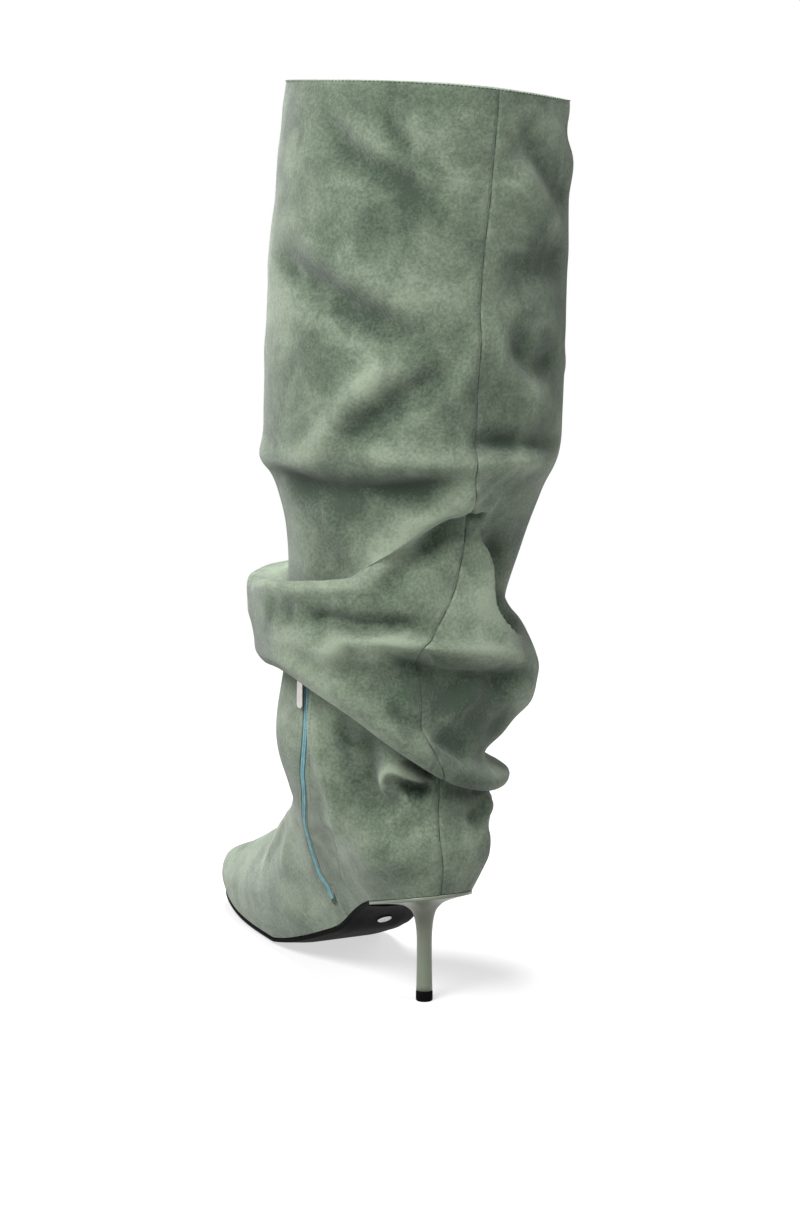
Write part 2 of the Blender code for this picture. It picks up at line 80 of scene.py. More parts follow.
ZIP_GROOVE_REACH = 3.6 * MM
ZIP_GROOVE_EDGE = 1.2 * MM
SEAM_GROOVE_DEPTH = 0.35 * MM
SEAM_GROOVE_REACH = 1.5 * MM
LINING_GAP = 0.3 * MM
TAPE_HALF = 2.9 * MM
COIL_PITCH = 1.15 * MM
HEM_WIDTH = 1.5 * MM
HEM_HEIGHT = 0.9 * MM
END_THREAD_HALF = 2.6 * MM
COLLAR_STITCH_PITCH = 2.2 * MM
COLLAR_STITCH_LENGTH = 1.35 * MM

# Points round the upper and the lining, and the share of a fold's line over which it eases in and out
UPPER_TURNS = 410
LINING_TURNS = 160
FOLD_EASE = 0.28

# The sole's underside: share of the foot's length from the toe, height as a share of the heel's
SOLE_LINE = (
    (0.00, 0.130), (0.06, 0.095), (0.12, 0.055), (0.22, 0.008), (0.28, 0.000), (0.385, 0.000),
    (0.44, 0.050), (0.53, 0.170), (0.60, 0.285), (0.672, 0.420), (0.74, 0.620), (0.80, 0.760),
    (0.90, 0.895), (1.00, 1.000),
)

# The last's outline: share of the length, width against an ellipse, swing to the inner side
OUTLINE = (
    (0.00, 0.77, 0.06), (0.03, 0.79, 0.05), (0.08, 0.83, 0.03), (0.15, 0.90, -0.01),
    (0.25, 0.97, -0.07), (0.34, 1.02, -0.11), (0.42, 1.02, -0.12), (0.50, 0.94, -0.09),
    (0.60, 0.78, -0.05), (0.70, 0.71, -0.02), (0.80, 0.86, 0.00), (0.90, 1.30, 0.00),
    (0.95, 1.56, 0.00), (1.00, 1.80, 0.00),
)

# Sections of the foot from the sole's edge up, as in the solid model
FOOT_SECTIONS = (
    # name       toe     heel   width last  counter front medial back  lateral
    ("feather",  0.000,  0.000, 1.00, 1.00, 0.00, 0.000, 0.000, 0.000, 0.000),
    ("welt",    -0.012,  0.008, 1.08, 0.95, 0.08, 0.019, 0.019, 0.018, 0.019),
    ("toe",      0.012,  0.014, 1.12, 0.85, 0.20, 0.048, 0.040, 0.036, 0.038),
    ("vamp",     0.132,  0.014, 1.16, 0.65, 0.26, 0.090, 0.066, 0.052, 0.060),
    ("instep",   0.264,  0.008, 1.20, 0.45, 0.28, 0.136, 0.092, 0.067, 0.082),
    ("throat",   0.377, -0.002, 1.26, 0.25, 0.26, 0.186, 0.112, 0.081, 0.099),
    ("tongue",   0.468, -0.010, 1.34, 0.10, 0.22, 0.217, 0.126, 0.094, 0.111),
)

# Sections of the leg up to the collar: axis, distance out and height in six directions
LEG_SECTIONS = (
    # name        axis x, y    out: F   FM    BM    B     BL    FL    up: F   FM     BM     B      BL     FL
    ("crease",   0.00, -0.47, 0.89, 0.75, 0.68, 0.75, 0.69, 0.66, 0.138, 0.112, 0.114, 0.112, 0.100, 0.112),
    ("ankle",    0.00, -0.47, 0.93, 0.83, 0.71, 0.74, 0.67, 0.72, 0.190, 0.168, 0.155, 0.127, 0.108, 0.130),
    ("tube",     0.00, -0.47, 0.94, 0.77, 0.76, 0.74, 0.60, 0.70, 0.252, 0.268, 0.266, 0.150, 0.126, 0.154),
    ("under",    0.00, -0.47, 0.95, 0.77, 0.79, 0.76, 0.61, 0.71, 0.274, 0.298, 0.300, 0.169, 0.138, 0.168),
    ("lip in",   0.00, -0.47, 1.02, 0.86, 0.90, 0.84, 0.73, 0.80, 0.260, 0.281, 0.270, 0.154, 0.130, 0.154),
    ("lip",      0.00, -0.47, 1.07, 0.92, 0.95, 0.90, 0.80, 0.86, 0.254, 0.275, 0.262, 0.149, 0.127, 0.149),
    ("lip out",  0.00, -0.47, 1.12, 0.98, 1.01, 0.95, 0.82, 0.88, 0.266, 0.286, 0.273, 0.162, 0.137, 0.158),
    ("notch",    0.00, -0.47, 1.13, 1.00, 1.03, 0.90, 0.61, 0.73, 0.285, 0.304, 0.294, 0.193, 0.160, 0.182),
    ("roll low", 0.00, -0.47, 1.13, 1.01, 1.03, 0.92, 0.80, 0.86, 0.300, 0.318, 0.313, 0.224, 0.191, 0.210),
    ("roll",     0.00, -0.47, 1.17, 1.04, 1.03, 0.97, 1.03, 1.07, 0.338, 0.343, 0.338, 0.295, 0.270, 0.285),
    ("roll top", 0.00, -0.45, 1.09, 1.02, 0.97, 0.89, 0.90, 1.00, 0.383, 0.385, 0.388, 0.385, 0.328, 0.350),
    ("valley",   0.00, -0.41, 0.88, 0.80, 0.79, 0.80, 0.76, 0.81, 0.390, 0.378, 0.385, 0.455, 0.357, 0.370),
    ("neck",     0.00, -0.36, 0.89, 0.81, 0.83, 0.84, 0.85, 0.85, 0.443, 0.443, 0.448, 0.486, 0.433, 0.438),
    ("ledge",   -0.01, -0.31, 0.93, 0.90, 0.90, 0.92, 0.94, 0.93, 0.490, 0.498, 0.502, 0.512, 0.498, 0.488),
    ("swell",   -0.03, -0.29, 1.01, 1.00, 1.00, 1.00, 1.03, 1.01, 0.540, 0.545, 0.548, 0.555, 0.544, 0.536),
    ("shin",    -0.05, -0.27, 1.04, 1.04, 1.03, 1.02, 1.04, 1.03, 0.640, 0.640, 0.640, 0.640, 0.640, 0.640),
    ("calf",    -0.08, -0.24, 1.04, 1.04, 1.03, 1.02, 1.03, 1.03, 0.770, 0.770, 0.770, 0.770, 0.770, 0.770),
    ("knee",    -0.11, -0.20, 1.02, 1.02, 1.01, 1.00, 1.01, 1.01, 0.900, 0.900, 0.900, 0.898, 0.895, 0.898),
    ("collar",  -0.12, -0.19, 0.97, 0.97, 0.97, 0.98, 0.97, 0.97, 1.000, 1.000, 1.000, 0.990, 0.976, 0.990),
)
TOP = len(FOOT_SECTIONS) + len(LEG_SECTIONS) - 1

# Lines on the suede: degrees round from the front by the inner side, section number
ZIP_LINE = ((110, 1.75), (107, 2.50), (99, 3.50), (91, 4.75), (83, 6.50), (89, 7.55), (95, 8.30),
            (96, 8.75), (97, 9.30))
BACK_SEAM = ((177, 0.0), (177, 2.0), (176, 4.1), (177, 6.5), (178, 8.3), (176, 10.5), (175, 12.2),
             (171, 13.25), (165, 13.95), (165, 15.4), (163, 16.12), (168, 16.35), (180, 17.05),
             (187, 18.0), (187, 18.7), (183, 19.8), (179, 20.9), (178, 21.85), (177, 22.8),
             (178, 23.7), (181, 25.0))
SIDE_SEAM = ((126, 0.0), (122, 1.2), (118, 2.2), (118, 3.8), (115, 5.6), (113, 7.3), (109, 8.3),
             (104, 8.75), (103, 9.6))

# Folds along lines on the suede. Widths lie left and right of the line, seen from outside and going
# along it; a hollow has a height below zero. Millimetres.
FOLDS = (
    # name, left, right, height, line of (degrees, section)
    ("upper hollow", 9, 7, -4.2, ((103, 24.65), (126, 24.08), (146, 23.80), (156, 23.4))),
    ("upper brow", 6, 6, 2.6, ((109, 24.85), (132, 24.27), (147, 24.02), (160, 23.75))),
    ("second hollow", 5, 6, -3.0, ((132, 24.78), (143, 24.30), (154, 23.90))),
    ("second brow", 5, 8, 2.6, ((139, 24.75), (156, 24.18), (174, 23.60))),
    ("outer hollow", 9, 8, -4.4, ((186, 24.50), (204, 24.05), (230, 23.50))),
    ("outer brow", 9, 10, 3.4, ((184, 24.15), (202, 23.72), (226, 23.20))),
    ("long hollow", 10, 9, -5.6, ((70, 23.30), (104, 22.98), (128, 22.72), (166, 22.28))),
    ("long brow", 8, 8, 3.0, ((92, 23.35), (125, 23.05), (143, 22.82), (163, 22.55))),
    ("calf ridge", 8, 8, 4.6, ((151, 22.45), (136, 22.05), (124, 21.65), (114, 21.20), (98, 21.05))),
    ("calf hollow", 8, 7, -5.6, ((168, 22.30), (150, 21.88), (134, 21.50), (122, 21.25))),
    ("seam brow inside", 7, 7, 2.6, ((179, 22.70), (174, 22.25), (166, 21.70))),
    ("seam brow outside", 7, 7, 4.2, ((179, 22.65), (196, 22.08), (224, 21.60))),
    ("outer pocket", 9, 9, -4.8, ((188, 22.55), (206, 22.16), (226, 22.35))),
    ("outer valley", 12, 12, -4.2, ((181, 22.98), (199, 23.04), (228, 23.28))),
    ("slot", 6, 4, -6.6, ((172, 21.26), (196, 21.18), (236, 21.16))),
    ("swell ridge", 8, 7, 4.6, ((112, 21.25), (150, 21.04), (181, 20.87), (205, 20.86), (234, 20.98))),
    ("swell front", 8, 7, 3.6, ((50, 20.95), (80, 20.97), (106, 21.04), (122, 21.16))),
    ("swell hollow", 7, 13, -7.0, ((76, 20.70), (104, 20.32), (130, 20.12), (156, 20.20), (178, 20.50))),
    ("neck ridge", 8, 10, 7.6, ((186, 20.85), (181, 20.1), (173, 19.1), (160, 18.35), (146, 17.85),
        (128, 17.55))),
    ("neck shade", 9, 7, -6.0, ((181, 19.55), (175, 18.6), (166, 17.9), (152, 17.35), (140, 17.2))),
    ("pinch", 3.5, 3.5, -5.0, ((195, 19.15), (190, 18.95), (185, 18.85))),
    ("pinch brow", 4, 4, 3.2, ((199, 19.35), (190, 19.35), (183, 19.15))),
    ("panel edge", 1.6, 12, 6.4, ((187, 18.75), (195, 18.2), (200, 17.7), (199, 17.25), (199, 16.95),
        (205, 16.68), (221, 16.45))),
    ("beyond the panel", 10, 3, -6.0, ((196, 18.5), (206, 18.1), (211, 17.6), (210, 17.1), (216, 16.85),
        (232, 16.7))),
    ("roll edge", 6, 2.6, 4.4, ((72, 16.98), (96, 17.02), (116, 17.02), (134, 17.0), (150, 16.92))),
    ("roll band", 6, 4, -7.0, ((112, 16.42), (128, 16.34), (140, 16.30), (150, 16.38), (160, 16.42),
        (170, 16.38))),
    ("roll bulge", 10, 10, 3.0, ((92, 15.55), (108, 15.4), (126, 15.5), (139, 15.75))),
    ("roll dent front", 7, 7, -2.6, ((92, 16.5), (104, 16.4), (114, 16.35))),
    ("roll bend", 6, 6, -2.6, ((121, 16.5), (124, 16.0), (126, 15.3))),
    ("lap ridge", 5, 6, 4.0, ((139, 14.8), (133, 15.4), (133, 15.95), (142, 16.12), (156, 16.18),
        (170, 16.24))),
    ("lap edge", 7, 1.6, 5.6, ((141, 16.14), (156, 16.15), (173, 16.20), (188, 16.22), (208, 16.20),
        (228, 16.16))),
    ("lap pocket", 4, 14, -10.0, ((142, 15.94), (158, 15.86), (174, 15.86), (192, 15.92), (206, 15.92),
        (226, 15.9))),
    ("roll dimple", 8, 8, -4.4, ((128, 15.35), (138, 15.12), (150, 15.0), (160, 14.95))),
    ("roll pocket", 13, 13, -6.0, ((166, 15.4), (186, 15.2), (208, 15.1), (230, 15.0))),
    ("pocket streak", 7, 7, 3.4, ((188, 15.95), (190, 15.6), (180, 15.1), (170, 14.7))),
    ("outer lobe", 9, 9, 3.0, ((206, 15.9), (224, 15.7), (240, 15.3))),
    ("lip band", 6, 5, 2.2, ((78, 13.75), (104, 13.6), (130, 13.5), (156, 13.4), (178, 13.35))),
    ("lip rim", 2.2, 2.2, 1.3, ((90, 12.3), (106, 12.18), (130, 12.06), (146, 11.95), (160, 11.84),
        (178, 11.95), (188, 12.5), (201, 12.94))),
    ("above the lip", 8, 7, -3.0, ((96, 14.25), (122, 14.1), (148, 13.95), (164, 13.98))),
    ("pucker inside", 5, 5, -3.0, ((150, 14.2), (157, 13.95), (166, 13.80))),
    ("pucker outside", 5, 5, -3.0, ((170, 14.25), (180, 13.98), (194, 14.0))),
    ("loop", 3, 2.6, 7.4, ((177, 8.56), (168, 8.44), (161, 8.42), (156, 8.41), (152, 8.37), (148.5, 8.25),
        (146.5, 8.05), (148, 7.76), (152, 7.36), (154, 6.9))),
    ("loop hollow above", 3, 3, -5.4, ((177, 8.86), (170, 8.78), (163, 8.70), (157, 8.66))),
    ("loop hollow inside", 6, 6, -7.0, ((175, 8.15), (167, 8.1), (159, 8.0), (156, 7.7))),
    ("ankle hollow", 7, 8, -6.4, ((138, 8.8), (140, 8.25), (142, 7.7), (147, 7.0), (153, 6.1))),
    ("outer curl", 5, 3, 3.0, ((226, 7.6), (218, 6.9), (212, 6.2), (205, 5.1), (200, 3.9), (199, 2.9))),
    ("outer curl hollow", 5, 6, -2.4, ((214, 7.5), (207, 6.9), (200, 6.1), (195, 5.2))),
    ("side ridge", 5, 6, 2.6, ((97, 8.75), (102, 8.5), (105, 8.3), (108, 8.0), (113, 7.1), (122, 4.9),
        (127, 3.4))),
    ("ankle shade", 8, 6, -4.0, ((120, 8.7), (125, 8.4), (129, 7.9), (133, 7.1), (140, 6.2))),
    ("ankle pleat", 5, 5, 2.4, ((66, 6.7), (52, 5.2), (48, 4.3), (62, 2.8))),
    ("ankle pleat low", 5, 6, 2.2, ((70, 6.4), (66, 4.9), (78, 3.2))),
    ("ankle crease", 5, 5, -3.0, ((64, 6.75), (40, 6.6), (10, 6.4), (-25, 6.4), (-60, 6.65))),
    ("instep crease", 6, 6, -2.0, ((50, 5.6), (10, 5.2), (-35, 5.5))),
    ("vamp crease", 6, 7, -1.4, ((45, 4.6), (5, 4.1), (-40, 4.6))),
    ("heel swell", 14, 12, 1.8, ((132, 3.2), (155, 4.4), (175, 4.8))),
    ("heel crease", 5, 6, -2.0, ((150, 5.9), (162, 5.6), (175, 5.7))),
    ("front ankle", 7, 8, 3.0, ((-70, 8.4), (-30, 8.0), (10, 8.1), (48, 8.4))),
    ("front ankle hollow", 7, 8, -3.0, ((-65, 7.7), (-25, 7.4), (15, 7.5), (50, 7.7))),
    ("outer ankle", 7, 7, -3.2, ((-120, 7.4), (-95, 7.2), (-60, 7.6))),
    ("outer ankle ridge", 6, 8, 3.0, ((-125, 6.8), (-95, 6.5), (-65, 6.9))),
    ("front roll fold", 7, 9, -5.4, ((62, 16.4), (25, 16.3), (-15, 16.45), (-55, 16.3))),
    ("front roll brow", 9, 7, 3.6, ((-80, 16.2), (-40, 15.9), (0, 15.95), (40, 15.9))),
    ("front roll low", 9, 9, -4.6, ((-70, 15.3), (-30, 15.2), (15, 15.1), (55, 15.2))),
    ("outer roll fold", 7, 8, -4.6, ((-130, 16.5), (-100, 16.3), (-75, 16.5))),
    ("outer roll dent", 7, 8, -3.8, ((-94, 16.9), (-92, 16.1), (-100, 15.2))),
    ("front neck ridge", 9, 8, 6.0, ((-64, 20.7), (-40, 19.6), (-10, 18.6), (25, 18.0), (58, 17.6))),
    ("front neck shade", 7, 9, -4.8, ((-75, 20.2), (-55, 19.2), (-25, 18.3), (10, 17.7))),
    ("front swell", 8, 7, 4.2, ((-110, 20.95), (-60, 20.9), (-10, 21.0), (52, 20.95))),
    ("front hollow", 7, 13, -6.2, ((-104, 20.4), (-60, 20.15), (-15, 20.2), (42, 20.4))),
    ("front long hollow", 14, 13, -3.8, ((-76, 23.15), (-35, 22.8), (0, 22.45), (39, 22.15))),
    ("front long brow", 8, 9, 2.8, ((-62, 23.4), (-30, 23.1), (5, 22.75))),
    ("front upper hollow", 12, 11, -3.0, ((28, 24.6), (-5, 24.1), (-44, 23.75))),
    ("front upper brow", 7, 7, 2.6, ((28, 24.7), (0, 24.35), (-32, 24.05))),
    ("front calf ridge", 8, 8, 4.0, ((-122, 22.3), (-95, 21.9), (-70, 21.4), (-38, 21.2))),
    ("outer shaft hollow", 12, 12, -3.6, ((-130, 23.9), (-105, 23.5), (-78, 23.2))),
    ("collar dent", 14, 9, -2.6, ((-140, 24.7), (-118, 24.5), (-98, 24.7))),
)

# Camera of the photograph: yaw from straight behind, distance, height, pitch, lens
CAMERA_YAW = np.radians(27.0)
CAMERA_DISTANCE = 1.650
CAMERA_HEIGHT = 0.480
CAMERA_PITCH = np.radians(9.19)
CAMERA_ASIDE = 0.0129
CAMERA_LENS = 95.5

# Lamps: name, toward the camera, to the right, height, size, power
LAMPS = (
    ("key", 0.90, -0.60, 1.20, 0.80, 50.0), ("top", -0.26, -0.10, 1.70, 0.40, 62.0),
    ("right", 0.60, 1.05, 0.95, 0.90, 12.0), ("left", 0.10, -1.15, 0.60, 0.90, 4.0),
)
WORLD_STRENGTH = 0.26
FLOOR_RADIUS = 1.1
FLOOR_GLOW = 0.62


def hermite(start, end, leave, arrive, t):
    """Cubic from start to end with the two given slopes."""
    return ((2*t**3 - 3*t**2 + 1) * start + (t**3 - 2*t**2 + t) * leave
            + (3*t**2 - 2*t**3) * end + (t**3 - t**2) * arrive)


def curve(table, where):
    """Smooth curve through a table's rows; each slope comes from the neighbouring rows."""
    rows = np.asarray(table, float)
    x, values = rows[:, 0], rows[:, 1:]
    slope = np.gradient(values, x, axis=0)
    where = np.clip(np.asarray(where, float), x[0], x[-1])
    i = np.clip(np.searchsorted(x, where, side="right") - 1, 0, len(x) - 2)
    step = (x[i + 1] - x[i])[..., None]
    t = (where - x[i])[..., None] / step
    return hermite(values[i], values[i + 1], slope[i] * step, slope[i + 1] * step, t)


def through(points, count):
    """A smooth line through a few points, in count even steps of its own number."""
    points = np.asarray(points, float)
    number = np.arange(len(points))
    return curve(np.column_stack([number, points]), np.linspace(0, number[-1], count))


def smooth_step(x):
    x = np.clip(x, 0, 1)
    return x * x * (3 - 2 * x)


def around(six, turn):
    """Smooth closed curve through six values 60 degrees apart."""
    six = np.asarray(six, float)
    at = np.arange(6) * np.pi / 3
    out = np.full(turn.shape, six.mean())
    for n in (1, 2):
        out = out + (six @ np.cos(n * at) * np.cos(n * turn)
                     + six @ np.sin(n * at) * np.sin(n * turn)) / 3
    return out + six @ np.cos(3 * at) * np.cos(3 * turn) / 6


def share_of_foot(y):
    return np.clip((y - HEEL_BACK + FOOT_LENGTH) / FOOT_LENGTH, 0, 1)


def sole_height(share):
    """Height of the sole's underside above the floor."""
    return np.maximum(curve(SOLE_LINE, share)[..., 0], 0) * HEEL_HEIGHT


def seat_height(y):
    return sole_height(share_of_foot(y)) + SOLE_THICKNESS + SOLE_CAMBER - GAP


def foot_section(row, turn):
    """One section of the foot: the last's outline, lifted off the sole."""
    toe, heel, width, last, counter, front, medial, back, lateral = row[1:]
    toe_y = HEEL_BACK - FOOT_LENGTH * (1 - toe)
    heel_y = HEEL_BACK + FOOT_LENGTH * heel
    y = toe_y + (heel_y - toe_y) * (1 - np.cos(turn)) / 2
    s = share_of_foot(y)
    shape = curve(OUTLINE, s)
    rear = smooth_step((s - 0.6) / 0.3)
    half = BALL_WIDTH / 2 * (width + counter * rear) * np.sin(turn) * (1 + last * (shape[..., 0] - 1))
    x = BALL_WIDTH * shape[..., 1] * last + half
    mean = (front + medial + back + lateral) / 4
    cross = (front + back - medial - lateral) / 4
    lift = (mean + (front - back) / 2 * np.cos(turn) + (medial - lateral) / 2 * np.sin(turn)
            + cross * np.cos(2 * turn))
    return np.stack([x, y, seat_height(y) + GAP + lift * LEG_HEIGHT], -1)


def leg_section(row, turn):
    """One section of the leg: six distances from its axis and six heights, joined smoothly."""
    radius = SHAFT_WIDTH / 2
    out = around(row[3:9], turn) * radius
    up = HEEL_HEIGHT + SOLE_THICKNESS + around(row[9:15], turn) * LEG_HEIGHT
    return np.stack([row[1] * radius + out * np.sin(turn), row[2] * radius - out * np.cos(turn), up],
                    -1)


def sections(turn):
    return np.stack([foot_section(row, turn) for row in FOOT_SECTIONS]
                    + [leg_section(row, turn) for row in LEG_SECTIONS])


SPACING = np.linalg.norm(np.diff(sections(np.arange(48) * np.pi / 24), axis=0), axis=2).mean(1)
KNOT = np.concatenate([[0], np.cumsum(SPACING ** 0.5)])


def plain_point(turn, along):
    """The upper's smooth outer surface: turn in radians from the front, along in section numbers."""
    turn, along = np.broadcast_arrays(np.asarray(turn, float), np.asarray(along, float))
    rings = sections(turn)
    slope = np.gradient(rings, KNOT, axis=0)
    i = np.clip(np.floor(along).astype(int), 0, len(rings) - 2)
    t = (along - i)[..., None]
    step = (KNOT[i + 1] - KNOT[i])[..., None]

    def pick(values, index):
        return np.take_along_axis(values, index[None, ..., None], axis=0)[0]

    return hermite(pick(rings, i), pick(rings, i + 1),
                   pick(slope, i) * step, pick(slope, i + 1) * step, t)


def unit(v):
    return v / np.maximum(np.linalg.norm(v, axis=-1, keepdims=True), 1e-12)


def plain_normal(turn, along):
    """Outward unit normal of the smooth surface, from its slopes round and up."""
    turn, along = np.broadcast_arrays(np.asarray(turn, float), np.asarray(along, float))
    round_step = plain_point(turn + 0.01, along) - plain_point(turn - 0.01, along)
    up_step = (plain_point(turn, np.minimum(along + 0.02, TOP))
               - plain_point(turn, np.maximum(along - 0.02, 0)))
    return unit(np.cross(round_step, up_step))


def line_frame(line, step=2.5 * MM):
    """Even points along a line on the suede with its direction, the side to its left and the normal."""
    fine = through(line, 160)
    place = plain_point(np.radians(fine[:, 0]), fine[:, 1])
    run = np.concatenate([[0], np.cumsum(np.linalg.norm(np.diff(place, axis=0), axis=1))])
    count = max(6, int(run[-1] / step))
    even = np.linspace(0, run[-1], count)
    turn = np.interp(even, run, fine[:, 0])
    along = np.interp(even, run, fine[:, 1])
    centre = plain_point(np.radians(turn), along)
    out = plain_normal(np.radians(turn), along)
    ahead = unit(np.gradient(centre, axis=0))
    left = unit(np.cross(out, ahead))
    return turn, along, centre, ahead, left, out, even


def beside(point, turn, along, line, reach):
    """Signed distance of surface points to the left of a line and how far along it they are."""
    line_turn, line_along, centre, ahead, left, out, run = line_frame(line)
    aside = np.full(turn.shape, np.inf)
    ahead_by = np.zeros(turn.shape)
    middle = (line_turn.min() + line_turn.max()) / 2
    degrees = (np.degrees(turn) - middle + 180) % 360 - 180 + middle
    margin = np.degrees(reach / 0.035)
    near = ((degrees > line_turn.min() - margin) & (degrees < line_turn.max() + margin)
            & (along > line_along.min() - 3) & (along < line_along.max() + 3))
    index = np.flatnonzero(near)
    if not len(index):
        return aside, ahead_by, run[-1]
    flat = point.reshape(-1, 3)[index]
    best = np.full(len(index), np.inf)
    pick = np.zeros(len(index), int)
    here = along.reshape(-1)[index]
    for k in range(len(centre)):
        far = np.abs(here - line_along[k])
        distance = ((flat - centre[k]) ** 2).sum(1) + np.where(far > 2.2, 1.0, 0.0)
        closer = distance < best
        best = np.where(closer, distance, best)
        pick = np.where(closer, k, pick)
    offset = flat - centre[pick]
    side = (offset * left[pick]).sum(1)
    forward = (offset * ahead[pick]).sum(1)
    inside = best < (reach * 1.3) ** 2
    aside.reshape(-1)[index] = np.where(inside, side, np.inf)
    ahead_by.reshape(-1)[index] = run[pick] + forward
    return aside, ahead_by, run[-1]


def value_noise(turn, height, round_cells, cell_height, seed):
    """Smooth random surface, closed round the leg: random corner values joined by eased steps."""
    rng = np.random.default_rng(seed)
    grid = rng.uniform(-1, 1, (round_cells, 256))
    u = (turn / (2 * np.pi) * round_cells) % round_cells
    v = height / cell_height + 20
    i, j = np.floor(u).astype(int), np.floor(v).astype(int)
    fu, fv = smooth_step(u - i), smooth_step(v - j)
    i0, i1 = i % round_cells, (i + 1) % round_cells
    low = grid[i0, j % 256] * (1 - fu) + grid[i1, j % 256] * fu
    high = grid[i0, (j + 1) % 256] * (1 - fu) + grid[i1, (j + 1) % 256] * fu
    return low * (1 - fv) + high * fv


def suede(turn, along):
    """The creased surface: smooth surface plus every fold's height along its normal.

    A fold's height falls off as a bell to either side of its line, with its own width on each side,
    and eases in and out at the line's ends. Small random swellings are added last.
    """
    point = plain_point(turn, along)
    normal = plain_normal(turn, along)
    lift = np.zeros(turn.shape)
    for name, left, right, height, line in FOLDS:
        wide = max(left, right) * MM
        aside, ahead_by, length = beside(point, turn, along, line, 3 * wide + 4 * MM)
        width = np.where(aside > 0, left, right) * MM
        share = ahead_by / length
        ease = smooth_step(np.minimum(share, 1 - share) / FOLD_EASE)
        lift += height * MM * np.exp(-(aside / width) ** 2) * ease
    flat = np.interp(along, np.arange(TOP + 1), np.concatenate([[0], np.cumsum(SPACING)]))
    shaft = smooth_step((along - 6) / 3)
    lift += shaft * 0.9 * MM * value_noise(turn + flat * 3, flat, 12, 0.034, 4)
    lift += (0.25 + 0.75 * shaft) * 0.45 * MM * value_noise(turn - flat * 5, flat, 26, 0.016, 9)
    lift *= smooth_step(along / 1.5)
    lift *= 1 - 0.85 * smooth_step((along - 24.6) / 0.4)
    aside, ahead_by, length = beside(point, turn, along, ZIP_LINE, 9 * MM)
    lift -= ZIP_GROOVE_DEPTH * smooth_step((ZIP_GROOVE_REACH - np.abs(aside)) / ZIP_GROOVE_EDGE)
    aside, ahead_by, length = beside(point, turn, along, BACK_SEAM, 9 * MM)
    lift -= SEAM_GROOVE_DEPTH * np.exp(-(aside / SEAM_GROOVE_REACH) ** 2)
    return point + normal * lift[..., None], lift


def grid_faces(rows, columns):
    """Quads between rings of points, ring after ring; the last column joins the first."""
    low = np.arange(rows - 1)[:, None] * columns
    j = np.arange(columns)[None, :]
    k = (j + 1) % columns
    return np.stack([low + j, low + k, low + columns + k, low + columns + j], -1).reshape(-1, 4)


def surface(name, points, material, capped=False, marks=None):
    """Mesh from rings of points; capped closes both ends with one face; marks are values per point."""
    rows, columns = points.shape[:2]
    mesh = bpy.data.meshes.new(name)
    faces = [tuple(f) for f in grid_faces(rows, columns)]
    if capped:
        faces.append(tuple(reversed(range(columns))))
        faces.append(tuple(range((rows - 1) * columns, rows * columns)))
    mesh.from_pydata(points.reshape(-1, 3).tolist(), [], faces)
    for mark, values in (marks or {}).items():
        layer = mesh.attributes.new(mark, 'FLOAT', 'POINT')
        layer.data.foreach_set("value", np.clip(values, -1, 9).astype(np.float32).reshape(-1))
    mesh.shade_smooth()
    return finish_piece(name, mesh, material)


def finish_piece(name, mesh, material, body="boot"):
    mesh.materials.append(material)
    piece = bpy.data.objects.new(name, mesh)
    bpy.context.scene.collection.objects.link(piece)
    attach(piece, body)
    return piece


def closed_piece(name, points, material):
    """Capped surface with its doubled points merged and all faces turned outwards."""
    piece = surface(name, points, material, capped=True)
    shape = bmesh.new()
    shape.from_mesh(piece.data)
    bmesh.ops.remove_doubles(shape, verts=shape.verts, dist=1e-6)
    bmesh.ops.recalc_face_normals(shape, faces=shape.faces)
    shape.to_mesh(piece.data)
    shape.free()
    return piece


def swept(centre, left, out, aside, above):
    """Rings carried along a line: centre + left times aside + out times above."""
    return centre[:, None] + left[:, None] * aside[..., None] + out[:, None] * above[..., None]


def circle(sides):
    """Angles of a ring's points."""
    return np.arange(sides) * 2 * np.pi / sides


class Sum:
    """A number that flows through a material; arithmetic on it adds Math nodes."""

    def __init__(self, maker, socket):
        self.maker, self.socket = maker, socket

    def step(self, operation, *others):
        return self.maker.add("ShaderNodeMath", {"operation": operation}, dict(enumerate((self, *others))))

    def __add__(self, other): return self.step('ADD', other)
    def __sub__(self, other): return self.step('SUBTRACT', other)
    def __mul__(self, other): return self.step('MULTIPLY', other)
    def __rsub__(self, other): return self.maker.number('SUBTRACT', other, self)
    def __radd__(self, other): return self.step('ADD', other)
    def __rmul__(self, other): return self.step('MULTIPLY', other)
    def __abs__(self): return self.step('ABSOLUTE')


